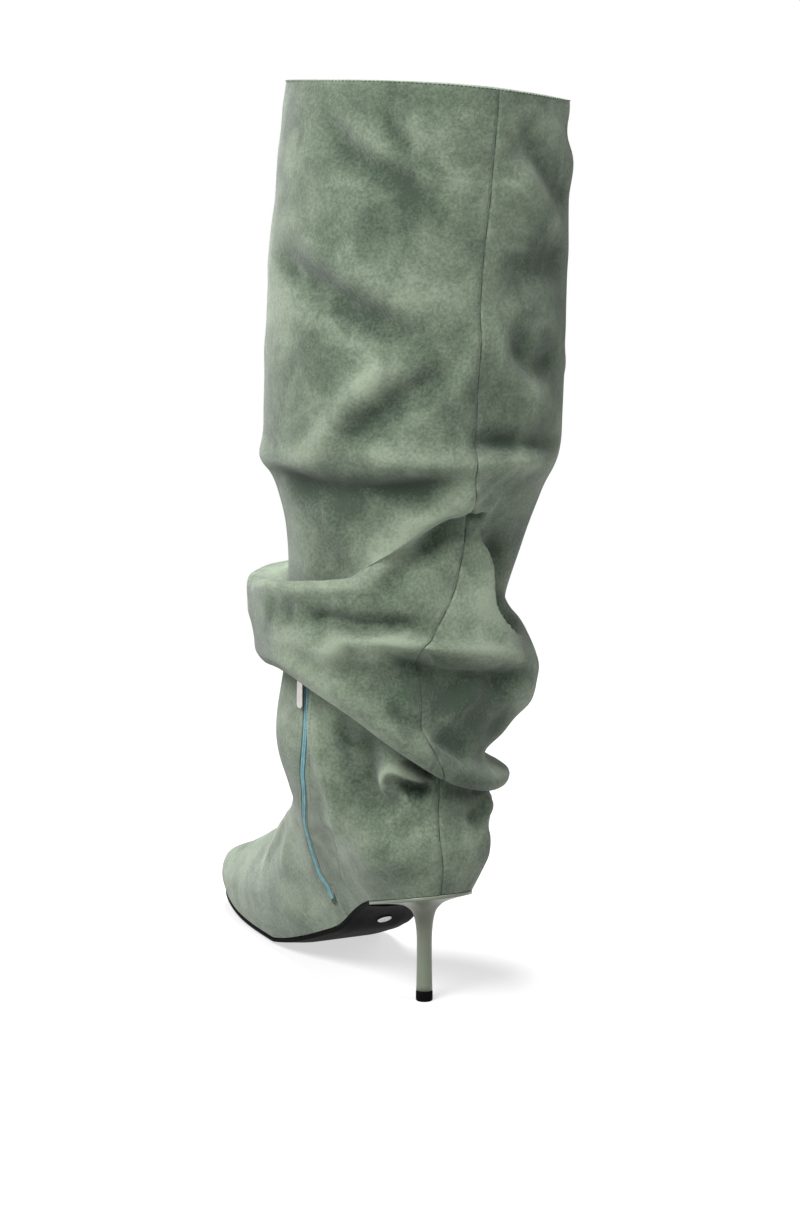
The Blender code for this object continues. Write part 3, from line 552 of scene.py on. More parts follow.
class Finish:
    """One material: a Principled shader and the nodes that vary it over the surface."""

    def __init__(self, name, **constants):
        self.material = bpy.data.materials.new(name)
        self.material.use_nodes = True
        self.tree = self.material.node_tree
        self.shader = self.tree.nodes["Principled BSDF"]
        for socket, value in constants.items():
            self.shader.inputs[socket.replace("_", " ")].default_value = value

    def add(self, kind, settings=None, values=None, output=0):
        """Any node: its settings first, then the values or links of its sockets."""
        node = self.tree.nodes.new(kind)
        for key, value in (settings or {}).items():
            if key == "stops":
                ramp = node.color_ramp
                while len(ramp.elements) < len(value):
                    ramp.elements.new(0.5)
                for element, (place, colour) in zip(ramp.elements, value):
                    element.position = place
                    element.color = colour if len(colour) == 4 else (*colour, 1)
            else:
                setattr(node, key, value)
        for key, value in (values or {}).items():
            if isinstance(value, Sum):
                self.tree.links.new(value.socket, node.inputs[key])
            elif value is not None:
                node.inputs[key].default_value = value
        return Sum(self, node.outputs[output])

    def number(self, operation, first, second):
        return self.add("ShaderNodeMath", {"operation": operation}, {0: first, 1: second})

    def mark(self, name):
        return self.add("ShaderNodeAttribute", {"attribute_name": name}, output="Fac")

    def place(self):
        return self.add("ShaderNodeTexCoord", output="Object")

    def noise(self, scale, detail=3.0, rough=0.55, distort=0.0, where=None):
        return self.add("ShaderNodeTexNoise", values={
            "Vector": where or self.place(), "Scale": scale, "Detail": detail,
            "Roughness": rough, "Distortion": distort})

    def stretched(self, x, y, z):
        """Object coordinates pulled along the axes."""
        return self.add("ShaderNodeMapping", values={"Vector": self.place(), "Scale": (x, y, z)})

    def band(self, value, low, high):
        """0 below low, 1 above high, eased between."""
        return self.add("ShaderNodeMapRange", {"interpolation_type": 'SMOOTHSTEP'},
                        {"Value": value, "From Min": low, "From Max": high, "To Min": 0.0, "To Max": 1.0})

    def mix(self, factor, first, second):
        colour = {6: first if isinstance(first, Sum) else (*first, 1.0),
                  7: second if isinstance(second, Sum) else (*second, 1.0), 0: factor}
        return self.add("ShaderNodeMix", {"data_type": 'RGBA'}, colour, output=2)

    def bump(self, height, distance, strength=1.0, normal=None):
        return self.add("ShaderNodeBump", values={
            "Height": height, "Distance": distance, "Strength": strength, "Normal": normal})

    def feed(self, **links):
        for socket, value in links.items():
            self.tree.links.new(value.socket, self.shader.inputs[socket.replace("_", " ")])
        return self.material


# The suede's colours: dark for random patches and painted shade in hollows, light for random patches and
# painted highlights on ridges; and the thread's
SAGE_DARK = (0.026, 0.039, 0.026)
SAGE = (0.069, 0.090, 0.063)
SAGE_LIGHT = (0.140, 0.171, 0.124)
THREAD_DARK = (0.020, 0.028, 0.022)


def suede_finish(name, seams=False):
    """Napped suede: cloudy brushed patches, painted highlight on raised folds and painted shade in sunk folds
    and grooves, fine fibre bump.
    """
    f = Finish(name, Roughness=0.93, Sheen_Weight=0.16, Sheen_Roughness=0.5, Specular_IOR_Level=0.12)
    cloud = f.noise(15.0, 4.0, 0.55, 0.6)
    brush = f.noise(52.0, 5.0, 0.62, 0.8)
    fleck = f.noise(620.0, 3.0, 0.65)
    fibre = f.noise(1900.0, 2.0, 0.7)
    tone = (f.band(cloud, 0.34, 0.68) * 0.46 + f.band(brush, 0.30, 0.72) * 0.28
            + f.band(fleck, 0.30, 0.70) * 0.26)
    if seams:
        # Painted light: the fold height lightens raised folds as a painted highlight and darkens hollows and
        # grooves as painted shade
        tone = tone + f.mark("fold") * 0.28
    base = f.add("ShaderNodeValToRGB", {"stops": (
        (0.05, SAGE_DARK), (0.46, SAGE), (0.95, SAGE_LIGHT))}, {"Fac": tone})
    height = fibre * 0.4 + fleck * 0.6
    relief = f.bump(height, 0.0009, 0.9)
    if seams:
        back = f.mark("back seam")
        side = f.mark("side seam")
        zip_edge = f.mark("zip side")
        run = f.mark("back run")
        slit = 1 - f.band(abs(back), 0.00018, 0.00050)
        side_slit = 1 - f.band(abs(side), 0.00015, 0.00045)
        stitch = f.band((run * 420.0).step('SINE'), -0.35, 0.25)
        dark = slit * (0.62 + 0.38 * stitch)
        base = f.mix(dark.step('MAXIMUM', side_slit * 0.12), base, THREAD_DARK)
        hole_run = f.mark("zip run")
        hole = ((1 - f.band(abs(abs(zip_edge) - 0.0062), 0.00022, 0.00042))
                * (1 - f.band((hole_run * 2600.0).step('SINE'), -0.25, 0.35)))
        base = f.mix(hole * 0.6, base, THREAD_DARK)
        seam_height = (f.band(abs(back), 0.0002, 0.0018) * 0.35 + f.band(abs(side), 0.0002, 0.0016) * 0.2
                       - hole * 0.25)
        relief = f.bump(seam_height, 0.0011, 1.0, relief)
    return f.feed(Base_Color=base, Normal=relief)


def plain_finish(name, dark, light, scale, bump_depth, **constants):
    """Even finish with a soft change of tone and a fine grain."""
    f = Finish(name, **constants)
    tone = f.noise(scale, 4.0, 0.6)
    grain = f.noise(scale * 22, 2.0, 0.6)
    base = f.mix(f.band(tone, 0.35, 0.7), dark, light)
    return f.feed(Base_Color=base, Normal=f.bump(grain * 0.6 + tone * 0.4, bump_depth, 0.5))


def sole_finish():
    """Black sole: satin, faintly scuffed in lighter streaks, with a fine grain."""
    f = Finish("black sole", Specular_IOR_Level=0.02)
    grain = f.noise(900.0, 3.0, 0.65)
    scuff = f.noise(140.0, 4.0, 0.7, 0.4, f.stretched(1.0, 0.25, 1.0))
    mark = f.band(scuff, 0.60, 0.80)
    base = f.mix(mark * 0.4, (0.0022, 0.0023, 0.0026), (0.012, 0.012, 0.013))
    return f.feed(Base_Color=base, Roughness=0.52 + mark * 0.25 + grain * 0.08,
                  Normal=f.bump(grain * 0.6 - mark * 0.4, 0.0003, 0.4))


def paint_finish():
    """Painted heel in the suede's colour: smooth, softly glossy, faint uneven spray."""
    f = Finish("sage paint", Coat_Weight=0.25, Coat_Roughness=0.25, Specular_IOR_Level=0.4)
    cloud = f.noise(60.0, 3.0, 0.5)
    peel = f.noise(700.0, 2.0, 0.5)
    base = f.mix(f.band(cloud, 0.3, 0.7), (0.074, 0.088, 0.062), (0.090, 0.104, 0.074))
    return f.feed(Base_Color=base, Roughness=0.36 + cloud * 0.12, Normal=f.bump(peel, 0.00008, 0.35))


def metal_finish(name, colour, rough):
    """Bright metal with fine handling scratches."""
    f = Finish(name, Metallic=1.0)
    scratch = f.noise(900.0, 3.0, 0.7, 0.0, f.stretched(1.0, 1.0, 0.12))
    cloud = f.noise(300.0, 2.0, 0.5)
    base = f.mix(f.band(cloud, 0.3, 0.7), colour, tuple(0.86 * c for c in colour))
    return f.feed(Base_Color=base, Roughness=rough + f.band(scratch, 0.5, 0.8) * 0.18,
                  Normal=f.bump(scratch, 0.00004, 0.4))


def coil_finish():
    """Teal nylon coil, slightly shiny, its tone varying softly at random."""
    f = Finish("teal coil", Specular_IOR_Level=0.45)
    tone = f.noise(260.0, 3.0, 0.6)
    base = f.mix(f.band(tone, 0.3, 0.7), (0.050, 0.125, 0.140), (0.085, 0.190, 0.208))
    return f.feed(Base_Color=base, Roughness=0.42 + tone * 0.1, Normal=f.bump(tone, 0.0001, 0.3))


def tape_finish():
    """Woven tape: one fine noise for the weave's tone and bump."""
    f = Finish("teal tape", Roughness=0.85)
    weave = f.noise(1800.0, 1.0, 0.4)
    base = f.mix(f.band(weave, 0.35, 0.65), (0.028, 0.075, 0.084), (0.050, 0.120, 0.132))
    return f.feed(Base_Color=base, Normal=f.bump(weave, 0.0002, 0.5))


def even_turns(count):
    """Turns round the boot, closer together at the zip and at the back seam."""
    probe = np.linspace(0, 2 * np.pi, 2000)
    weight = (1 + 1.5 * np.exp(-((np.degrees(probe) - 97) / 17) ** 4)
              + 0.7 * np.exp(-((np.degrees(probe) - 175) / 22) ** 4))
    total = np.concatenate([[0], np.cumsum((weight[1:] + weight[:-1]) / 2)])
    return np.interp(np.arange(count) / count, total / total[-1], probe)


def rows_for(steps):
    """Section numbers about one step apart; steps give the step up to each section number."""
    rows = [0.0]
    for number, distance in enumerate(SPACING):
        step = next(size for limit, size in steps if number < limit) * MM
        count = max(2, round(distance / step))
        rows += [number + (k + 1) / count for k in range(count)]
    return np.array(rows)


def build_upper(finish, lining):
    """Outer suede with its turned collar edge, and the lining behind it."""
    turns = even_turns(UPPER_TURNS)
    rows = rows_for(((6, 2.6), (9, 1.7), (17, 1.6), (21, 2.1), (TOP + 1, 3.4)))
    turn, along = np.meshgrid(turns, rows)
    point, lift = suede(turn, along)
    smooth = plain_point(turn, along)
    # The fold height also drives the suede's painted highlight on ridges and painted shade in hollows and
    # grooves
    marks = {"fold": lift / (4 * MM)}
    aside, run, length = beside(smooth, turn, along, BACK_SEAM, 12 * MM)
    marks["back seam"], marks["back run"] = aside, run
    aside, run, length = beside(smooth, turn, along, SIDE_SEAM, 10 * MM)
    hidden = (run < 0) | (run > length)
    marks["side seam"] = np.where(hidden, 1.0, aside)
    aside, run, length = beside(smooth, turn, along, ZIP_LINE, 12 * MM)
    marks["zip side"], marks["zip run"] = aside, run
    top, inward = point[-1], -unit((point[-1] - point[-1].mean(0)) * (1, 1, 0))
    rolled = []
    for angle in np.radians((30, 60, 90, 120, 150, 180)):
        reach, rise = (1 - np.cos(angle)) * UPPER_WALL / 2, np.sin(angle) * UPPER_WALL / 2
        rolled.append(top + inward * reach + (0, 0, rise))
    for below in np.linspace(0.05, 0.38, 7):
        level = np.full(len(turns), TOP - below)
        rolled.append(suede(turns, level)[0] - plain_normal(turns, level) * UPPER_WALL * 1.05)
    rolled = np.array(rolled)
    extra = len(rolled)
    for mark, values in marks.items():
        tail = np.repeat(values[-1:], extra, axis=0)
        marks[mark] = np.concatenate([values, tail])
    outer = surface("suede_upper", np.concatenate([point, rolled]), finish, marks=marks)
    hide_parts("upper")
    rows = rows_for(((6, 5), (17, 3.2), (TOP + 1, 6)))[:-2]
    rows = rows[(rows < 9.9) | (rows > 13.8)]
    turn, along = np.meshgrid(circle(LINING_TURNS), rows)
    lift = suede(turn, along)[1]
    deepest = np.minimum(lift, 0)
    for shift in (-2, -1, 1, 2):
        deepest = np.minimum(deepest, np.roll(np.minimum(lift, 0), shift, axis=1))
        deepest[2:-2] = np.minimum(deepest[2:-2], lift[2 + shift:len(lift) - 2 + shift])
    depth = deepest - UPPER_WALL - LINING_GAP
    inner = plain_point(turn, along) + plain_normal(turn, along) * depth[..., None]
    surface("leg_lining", inner[:, ::-1], lining)


def edge_outline(turn, inset=0.0):
    """Plan outline of the upper's lower edge, moved in by inset."""
    ring = foot_section(FOOT_SECTIONS[0], turn)[:, :2]
    ahead = np.roll(ring, -1, axis=0) - np.roll(ring, 1, axis=0)
    side = unit(np.stack([ahead[:, 1], -ahead[:, 0]], -1))
    return ring - inset * side


def across_stations(share_from, share_to, count, inset=0.0):
    """Inner and outer edge of the outline at stations along the foot, closer together at the toe."""
    ring = edge_outline(np.linspace(0, 2 * np.pi, 1441)[:-1], inset)
    half = len(ring) // 2
    inner = ring[:half + 1]
    outer = np.concatenate([[ring[0]], ring[half:][::-1]])
    low, high = inner[0, 1], inner[-1, 1]
    u = np.linspace(np.arccos(1 - 2 * share_from), np.arccos(1 - 2 * share_to), count)
    y = low + (high - low) * (1 - np.cos(u)) / 2
    return (np.interp(y, inner[:, 1], inner[:, 0]), np.interp(y, outer[:, 1], outer[:, 0]), y)


def build_outsole(finish):
    """Thin sole to the heel's breast: a lens-shaped section, its edge rounded, flat in the middle."""
    inner, outer, y = across_stations(0.0, 1 - (HEEL_SEAT_LENGTH + GAP) / FOOT_LENGTH, 150)
    low = sole_height(share_of_foot(y))
    high = seat_height(y)
    side = np.concatenate([np.linspace(-1, 1, 15), np.linspace(1, -1, 27)])
    under = np.concatenate([np.zeros(15), np.ones(27)])
    edge = smooth_step((np.abs(side) - 0.5) / 0.5)
    middle, half = (inner + outer) / 2, (inner - outer) / 2
    x = middle[:, None] + half[:, None] * side[None]
    bottom = low[:, None] + SOLE_CAMBER * edge[None]
    rim = 1 - 0.5 * smooth_step((np.abs(side) - 0.9) / 0.1)
    z = np.where(under[None] > 0, bottom + (1 - rim[None]) * 0.0008, high[:, None])
    points = np.stack([x, np.broadcast_to(y[:, None], x.shape), z], -1)
    piece = closed_piece("black_outsole", points, finish)
    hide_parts("outsole")


def build_insole(finish):
    """Padded sock: slightly crowned, soft at the edge."""
    inner, outer, y = across_stations(0.0, 1.0, 140, UPPER_WALL + GAP)
    side = np.concatenate([np.linspace(-1, 1, 9), np.linspace(1, -1, 25)])
    above = np.concatenate([np.zeros(9), np.ones(25)])
    middle, half = (inner + outer) / 2, (inner - outer) / 2
    x = middle[:, None] + half[:, None] * side[None]
    low = seat_height(y) + GAP
    crown = 1 - 0.55 * np.abs(side) ** 6
    z = low[:, None] + np.where(above[None] > 0, INSOLE_THICKNESS * crown[None], 0)
    points = np.stack([x, np.broadcast_to(y[:, None], x.shape), z], -1)
    piece = closed_piece("sock", points, finish)
    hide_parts("insole")


# The heel from its seat down: share of the seat's reach beyond the stem, drop as a share of the heel
FLARE = ((1.00, 0.000), (0.62, 0.017), (0.33, 0.042), (0.20, 0.073), (0.10, 0.119), (0.04, 0.203),
         (0.01, 0.305), (0.00, 0.410))


def build_heel(finish):
    """Painted heel: the seat's outline flares out of a slim round stem, level by level."""
    breast_y = HEEL_BACK - HEEL_SEAT_LENGTH
    ring = edge_outline(np.linspace(0, 2 * np.pi, 2881)[:-1])
    rim = ring[ring[:, 1] > breast_y]
    rim = rim[np.argsort(np.arctan2(rim[:, 0], -rim[:, 1]) % (2 * np.pi))]
    breast = rim[-1] + (rim[0] - rim[-1]) * np.linspace(0.04, 0.96, 24)[:, None]
    whole = np.concatenate([rim, breast])
    run = np.concatenate([[0], np.cumsum(np.linalg.norm(np.diff(whole, axis=0), axis=1))])
    even = np.linspace(0, run[-1], 161)[:-1]
    edge = np.column_stack([np.interp(even, run, whole[:, k]) for k in (0, 1)])
    reach = np.linalg.norm(edge, axis=1, keepdims=True)
    heading = edge / reach
    top = np.column_stack([edge, seat_height(edge[:, 1])])
    middle = float(seat_height(0.0)) - HEEL_EDGE
    low = top[:, 2] - HEEL_EDGE
    levels = [np.column_stack([edge * 0.6, top[:, 2]]),
              np.column_stack([edge - heading * HEEL_ROUNDING, top[:, 2]])]
    for depth in (0.0002, 0.0008, HEEL_EDGE - 0.0006):
        levels.append(np.column_stack([edge, top[:, 2] - depth]))
    number = np.arange(len(FLARE))
    for share, drop in curve(np.column_stack([number, np.array(FLARE)]), np.linspace(0, len(FLARE) - 1, 44)):
        plan = heading * (STEM_WIDTH / 2 + (reach - STEM_WIDTH / 2) * max(share, 0))
        height = middle + (low - middle) * max(share, 0) - drop * HEEL_HEIGHT
        levels.append(np.column_stack([plan, height]))
    foot = TOP_PIECE_HEIGHT + GAP
    base = levels[-1][0, 2]
    for share in np.linspace(0.9, 0, 9):
        width = STEM_WIDTH + (TOP_PIECE_WIDTH - GAP - STEM_WIDTH) * (1 - share) ** 2
        height = np.full(len(edge), foot + (base - foot) * share)
        levels.append(np.column_stack([heading * width / 2, height]))
    piece = closed_piece("painted_heel", np.array(levels), finish)
    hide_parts("heel")


def lathe(profile, sides):
    """Rings of a turned shape from (radius, height) rows."""
    angle = circle(sides)
    profile = np.asarray(profile, float)
    radius, height = profile[:, :1], profile[:, 1:]
    level = np.broadcast_to(height, (len(profile), sides))
    return np.stack([radius * np.cos(angle), radius * np.sin(angle), level], -1)


def build_tip(finish):
    """Black tip with a small bevel at the floor and a fine line where it meets the heel."""
    r = TOP_PIECE_WIDTH / 2
    h = TOP_PIECE_HEIGHT
    rings = lathe(((0.5 * r, 0), (r - 0.0005, 0), (r - 0.0002, 0.0002), (r, 0.0006), (r, h - 0.0006),
                   (r - 0.0001, h - 0.0002), (r - 0.0004, h), (0.5 * r, h)), 64)
    piece = closed_piece("heel_tip", rings, finish)
    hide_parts("top_piece")


def build_stud(finish):
    """Domed rivet with a shallow cross cut in its middle, square to the sole's underside."""
    r = STUD_WIDTH / 2
    rings = np.linspace(0.02, 1, 30)
    brim = 0.65 * np.sqrt(np.maximum(1 - ((rings - 0.86) / 0.14) ** 2, 0))
    height = np.where(rings < 0.86, 1 - 0.35 * (rings / 0.86) ** 2.4, brim)
    grid = lathe(np.column_stack([rings * r, height * STUD_HEIGHT]), 72)
    x, y = grid[..., 0], grid[..., 1]
    arm = np.minimum(np.abs(x), np.abs(y))
    inside = np.hypot(x, y) < 0.52 * r
    grid[..., 2] -= 0.00035 * inside * smooth_step((0.00055 - arm) / 0.00025)
    base = lathe(((r, 0.0),), 72)
    grid = np.concatenate([grid, base])
    place_y = HEEL_BACK - HEEL_SEAT_LENGTH - STUD_AHEAD
    reach = STUD_WIDTH / 4
    rise = float(sole_height(share_of_foot(place_y + reach)) - sole_height(share_of_foot(place_y - reach)))
    along = np.array([0.0, 2 * reach, rise]) / np.hypot(2 * reach, rise)
    across = np.array([1.0, 0.0, 0.0])
    down = np.cross(along, across)
    x0 = BALL_WIDTH * float(curve(OUTLINE, share_of_foot(place_y))[1])
    origin = np.array([x0, place_y, float(sole_height(share_of_foot(place_y)))]) + down * GAP
    points = origin + grid[..., :1] * across + grid[..., 1:2] * along + grid[..., 2:] * down
    piece = closed_piece("round_stud", points, finish)
    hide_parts("sole_stud")


def build_zip(coil, tape, edge, thread):
    """Tape at the groove's bottom, two rows of coil loops, and the turned suede edges beside them."""
    centre, ahead, left, out, run = line_frame(ZIP_LINE, 0.6 * MM)[2:]
    wide = np.array([[-1, 1, 1, 0.9 / 2.9, -0.9 / 2.9, -1]]) * TAPE_HALF
    above = np.array([[-0.75, -0.75, -0.50, -0.42, -0.42, -0.50]]) * MM
    piece = closed_piece("zip_tape", swept(centre, left, out, wide, above), tape)
    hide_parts("zip_coil")
    centre, ahead, left, out, run = line_frame(ZIP_LINE, 0.18 * MM)[2:]
    angle = circle(10)[None]
    for number, side in enumerate((-1, 1)):
        bead = 0.5 + 0.5 * np.cos(run / COIL_PITCH * 2 * np.pi + (np.pi if side > 0 else 0))
        radius = ((0.62 + 0.24 * bead) * MM)[:, None]
        aside = side * 0.86 * MM + radius * 1.05 * np.cos(angle)
        above = -0.12 * MM + radius * 0.80 * np.sin(angle)
        rings = swept(centre, left, out, aside, above)
        piece = closed_piece(f"zip_coil_row_{number + 1}", rings, coil)
        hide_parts("zip_coil")
    centre, ahead, left, out, run = line_frame(ZIP_LINE, 0.8 * MM)[2:]
    taper = smooth_step(np.minimum(run / (6 * MM), 1))[:, None]
    angle = circle(12)[None]
    for number, side in enumerate((-1, 1)):
        aside = side * (2.0 * MM + 1.1 * MM * taper) + np.cos(angle) * HEM_WIDTH / 2
        above = (np.sin(angle) + 1) * HEM_HEIGHT / 2 - 0.62 * MM
        closed_piece(f"zip_edge_{number + 1}", swept(centre, left, out, aside, above), edge)
    end_threads(centre[0], ahead[0], left[0], out[0], thread)


def end_threads(centre, ahead, left, out, thread):
    """Short thread bars across the zip's lower end, each bowed outwards."""
    across = np.linspace(-END_THREAD_HALF, END_THREAD_HALF, 12)[:, None]
    bow = np.sin(np.linspace(0, np.pi, 12))[:, None] * 0.35 * MM
    angle = circle(8)[:, None]
    section = (ahead * np.cos(angle) + out * np.sin(angle))[None] * 0.24 * MM
    for number, shift in enumerate((0.2, 0.9, 1.6)):
        path = centre - ahead * shift * MM + out * 0.1 * MM + left * across + out * bow
        closed_piece(f"zip_end_thread_{number + 1}", path[:, None] + section, thread)


def prism(profile, low, high, origin, axes):
    """A flat outline in the first two axes, thickened along the third, as a bmesh."""
    shape = bmesh.new()
    ring = [[shape.verts.new(origin + u * axes[0] + v * axes[1] + w * axes[2]) for u, v in profile]
            for w in (low, high)]
    count = len(profile)
    for j in range(count):
        k = (j + 1) % count
        shape.faces.new((ring[0][j], ring[0][k], ring[1][k], ring[1][j]))
    shape.faces.new(list(reversed(ring[0])))
    shape.faces.new(ring[1])
    bmesh.ops.recalc_face_normals(shape, faces=shape.faces)
    return shape


def bevelled(name, shape, finish, body, width):
    """Metal piece from a bmesh, its edges rounded by a bevel."""
    mesh = bpy.data.meshes.new(name)
    shape.to_mesh(mesh)
    shape.free()
    piece = finish_piece(name, mesh, finish, body)
    rounding = piece.modifiers.new("soft edges", 'BEVEL')
    rounding.width = width
    rounding.segments = 3
    mesh.shade_smooth()
    mesh.set_sharp_from_angle(angle=np.radians(50))
    return piece


def slider_place():
    """The slider's base and directions, from the zip's upper end as in the solid model."""
    line = np.asarray(ZIP_LINE, float)
    placed = curve(np.column_stack([np.arange(len(line)), line]), np.linspace(0, len(line) - 1, 24))
    turn, along = np.radians(placed[:, 0]), placed[:, 1]
    centre, out = plain_point(turn, along), plain_normal(turn, along)
    up = unit(np.gradient(centre, axis=0))
    across = unit(np.cross(up, out))
    out = np.cross(across, up)
    base = centre[-1] - up[-1] * (SLIDER_LENGTH / 2 + SLIDER_DROP) + out[-1] * (ZIP_PROUD + GAP)
    return base, across[-1], out[-1], up[-1]


def build_slider(finish):
    """Slider plate with a raised spine and the round wire of its bridge."""
    base, across, out, up = slider_place()
    wide, long = SLIDER_WIDTH / 2, SLIDER_LENGTH / 2
    plate = ((-0.7 * wide, -long), (0.7 * wide, -long), (wide, -0.3 * long), (wide, long), (0.3 * wide, long),
             (0.0, 0.6 * long), (-0.3 * wide, long), (-wide, long), (-wide, -0.3 * long))
    shape = prism(plate, 0.0, SLIDER_HEIGHT, base, (across, up, out))
    body = bevelled("slider_plate", shape, finish, "boot", 0.4 * MM)
    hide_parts("zip_slider")
    reach, top = (BRIDGE_LENGTH - BRIDGE_WIRE) / 2, SLIDER_HEIGHT + BRIDGE_HEIGHT - BRIDGE_WIRE / 2
    low = SLIDER_HEIGHT / 2
    knots = ((-reach, low), (-reach, 0.5 * (low + top)), (-0.92 * reach, top - 0.0004), (-0.7 * reach, top),
             (0.7 * reach, top), (0.92 * reach, top - 0.0004), (reach, 0.5 * (low + top)), (reach, low))
    path = through(knots, 48)
    centre = base + path[:, :1] * up + path[:, 1:] * out
    ahead = unit(np.gradient(centre, axis=0))
    side = np.cross(ahead, across)
    angle = circle(12)[None, :, None]
    ring = centre[:, None] + (across * np.cos(angle) + side[:, None] * np.sin(angle)) * BRIDGE_WIRE / 2
    wire = closed_piece("slider_bridge", ring, finish)
    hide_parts("zip_slider")


def build_pull(finish):
    """Pull tab: two arms and a cross bar round the eye, and a long blade with its end corners cut."""
    base, across, out, up = slider_place()
    pivot = base + out * (SLIDER_HEIGHT + (BRIDGE_HEIGHT - BRIDGE_WIRE) / 2)
    half, thick = PULL_WIDTH / 2, PULL_THICKNESS / 2
    arm = BRIDGE_WIRE / 2 + PULL_CLEARANCE
    eye = np.hypot(BRIDGE_LENGTH, BRIDGE_HEIGHT + BRIDGE_WIRE) / 2 + PULL_CLEARANCE
    shape = bmesh.new()
    outer = [(-half, thick), (-half, -eye), (-half, -0.93 * PULL_LENGTH), (-0.6 * half, -PULL_LENGTH),
             (0.6 * half, -PULL_LENGTH), (half, -0.93 * PULL_LENGTH), (half, -eye), (half, thick)]
    window = [(-arm, -thick), (-arm, -eye), (arm, -eye), (arm, -thick)]
    layer = []
    for w in (-thick, thick):
        layer.append([[shape.verts.new(Vector(pivot + u * across + v * up + w * out)) for u, v in ring]
                      for ring in (outer, window)])
    for (o, i), flip in ((layer[0], True), (layer[1], False)):
        quads = [(o[0], o[1], i[1], i[0]), (o[1], o[2], o[3], o[4], o[5], o[6], i[2], i[1]),
                 (o[6], o[7], i[3], i[2]), (o[7], o[0], i[0], i[3])]
        for quad in quads:
            shape.faces.new(tuple(reversed(quad)) if flip else quad)
    for ring in (0, 1):
        low, high = layer[0][ring], layer[1][ring]
        for j in range(len(low)):
            k = (j + 1) % len(low)
            shape.faces.new((low[j], low[k], high[k], high[j]))
    bmesh.ops.recalc_face_normals(shape, faces=shape.faces)
    piece = bevelled("pull_tab", shape, finish, "pull", 0.22 * MM)
    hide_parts("zip_pull")


def build_collar_stitches(thread):
    """A row of small stitches over the collar's turned edge."""
    turns = np.linspace(0, 2 * np.pi, 4001)[:-1]
    along = np.full(len(turns), float(TOP))
    ring = suede(turns, along)[0]
    closed = np.vstack([ring, ring[:1]])
    run = np.concatenate([[0], np.cumsum(np.linalg.norm(np.diff(closed, axis=0), axis=1))])
    count = int(run[-1] / COLLAR_STITCH_PITCH)
    starts = np.arange(count) * run[-1] / count
    part = np.linspace(0, 1, 7)
    at = (starts[:, None] + part[None] * COLLAR_STITCH_LENGTH) % run[-1]
    centre = np.stack([np.interp(at, run, closed[:, k]) for k in range(3)], -1)
    outward = unit((centre - ring.mean(0)) * (1, 1, 0))
    ahead = unit(np.gradient(centre, axis=1))
    side = np.cross(outward, ahead)
    bow = (np.sin(part * np.pi) * 0.30 - 0.05) * MM
    centre = centre + outward * (bow * 0.7)[None, :, None] + (0, 0, 1) * (bow + 0.25 * MM)[None, :, None]
    angle = circle(6)
    radius = (0.12 + 0.16 * np.sin(part * np.pi)) * MM
    tubes = (centre[:, :, None] + (side[:, :, None] * np.cos(angle)[None, None, :, None]
             + outward[:, :, None] * np.sin(angle)[None, None, :, None]) * radius[None, :, None, None])
    rows, columns = len(part), len(angle)
    faces = grid_faces(rows, columns)
    faces = (faces[None] + (np.arange(count) * rows * columns)[:, None, None]).reshape(-1, 4)
    mesh = bpy.data.meshes.new("collar_stitches")
    mesh.from_pydata(tubes.reshape(-1, 3).tolist(), [], [tuple(f) for f in faces])
    mesh.shade_smooth()
    finish_piece("collar_stitches", mesh, thread)


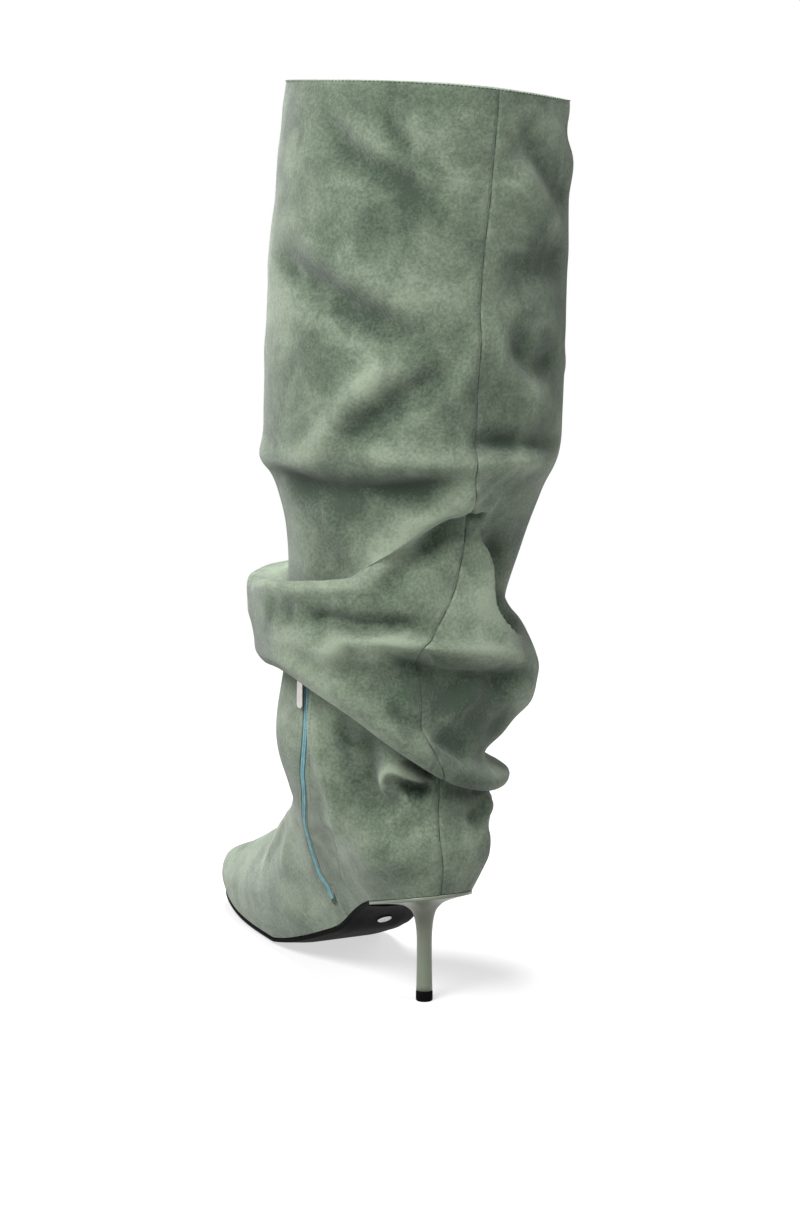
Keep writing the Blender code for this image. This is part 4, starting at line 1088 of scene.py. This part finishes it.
def build_stage():
    """Pale floor, plain soft light and the photograph's camera."""
    mesh = bpy.data.meshes.new("floor")
    angle = circle(96)
    ring = np.column_stack([FLOOR_RADIUS * np.cos(angle), FLOOR_RADIUS * np.sin(angle) - 0.1, 0 * angle])
    mesh.from_pydata(ring.tolist(), [], [tuple(range(96))])
    floor = bpy.data.objects.new("floor", mesh)
    bpy.context.scene.collection.objects.link(floor)
    pale = Finish("pale floor", Roughness=0.9, Specular_IOR_Level=0.1, Base_Color=(0.22, 0.22, 0.22, 1),
                  Emission_Color=(1, 1, 1, 1), Emission_Strength=FLOOR_GLOW)
    mesh.materials.append(pale.material)
    world = bpy.data.worlds.new("studio")
    bpy.context.scene.world = world
    world.use_nodes = True
    nodes = world.node_tree.nodes
    seen = nodes.new("ShaderNodeLightPath")
    strength = nodes.new("ShaderNodeMapRange")
    strength.inputs["To Min"].default_value = WORLD_STRENGTH
    strength.inputs["To Max"].default_value = 1.0
    world.node_tree.links.new(seen.outputs["Is Camera Ray"], strength.inputs["Value"])
    world.node_tree.links.new(strength.outputs["Result"], nodes["Background"].inputs["Strength"])
    nodes["Background"].inputs["Color"].default_value = (1, 1, 1, 1)
    back = np.array([np.sin(CAMERA_YAW), np.cos(CAMERA_YAW), 0.0])
    right = np.array([-np.cos(CAMERA_YAW), np.sin(CAMERA_YAW), 0.0])
    target = Vector((0, -0.05, 0.22))
    for name, near, aside, height, size, power in LAMPS:
        light = bpy.data.lights.new(name, 'AREA')
        light.shape = 'DISK'
        light.size = size
        light.energy = power
        lamp = bpy.data.objects.new(name, light)
        lamp.location = Vector(back * near + right * aside) + Vector((0, 0, height))
        lamp.rotation_euler = (target - lamp.location).to_track_quat('-Z', 'Y').to_euler()
        bpy.context.scene.collection.objects.link(lamp)
    lens = bpy.data.cameras.new("camera")
    lens.sensor_fit = 'VERTICAL'
    lens.sensor_height = 36.0
    lens.lens = CAMERA_LENS
    camera = bpy.data.objects.new("camera", lens)
    eye = back * CAMERA_DISTANCE - right * CAMERA_ASIDE + (0, 0, CAMERA_HEIGHT)
    look = -back * np.cos(CAMERA_PITCH) - np.array([0, 0, np.sin(CAMERA_PITCH)])
    camera.location = Vector(eye)
    camera.rotation_euler = Vector(look).to_track_quat('-Z', 'Y').to_euler()
    bpy.context.scene.collection.objects.link(camera)
    bpy.context.scene.camera = camera
    bpy.context.scene.view_settings.view_transform = 'Standard'


def main():
    leather = suede_finish("sage suede", seams=True)
    trim = suede_finish("sage suede trim")
    lining = plain_finish("leg lining", (0.34, 0.31, 0.25), (0.46, 0.42, 0.34), 40.0, 0.0002, Roughness=0.75)
    sock = plain_finish("sock leather", (0.40, 0.36, 0.29), (0.52, 0.47, 0.38), 60.0, 0.0002, Roughness=0.6)
    thread = plain_finish("dark thread", (0.030, 0.040, 0.032), (0.055, 0.070, 0.056), 900.0, 0.0001,
                          Roughness=0.8)
    rubber = sole_finish()
    build_upper(leather, lining)
    build_outsole(rubber)
    build_insole(sock)
    build_heel(paint_finish())
    build_tip(rubber)
    build_stud(metal_finish("stud metal", (0.62, 0.60, 0.57), 0.30))
    build_zip(coil_finish(), tape_finish(), trim, thread)
    build_slider(metal_finish("slider metal", (0.50, 0.48, 0.46), 0.34))
    build_pull(metal_finish("pull metal", (0.66, 0.62, 0.60), 0.38))
    build_collar_stitches(thread)
    build_stage()


main()
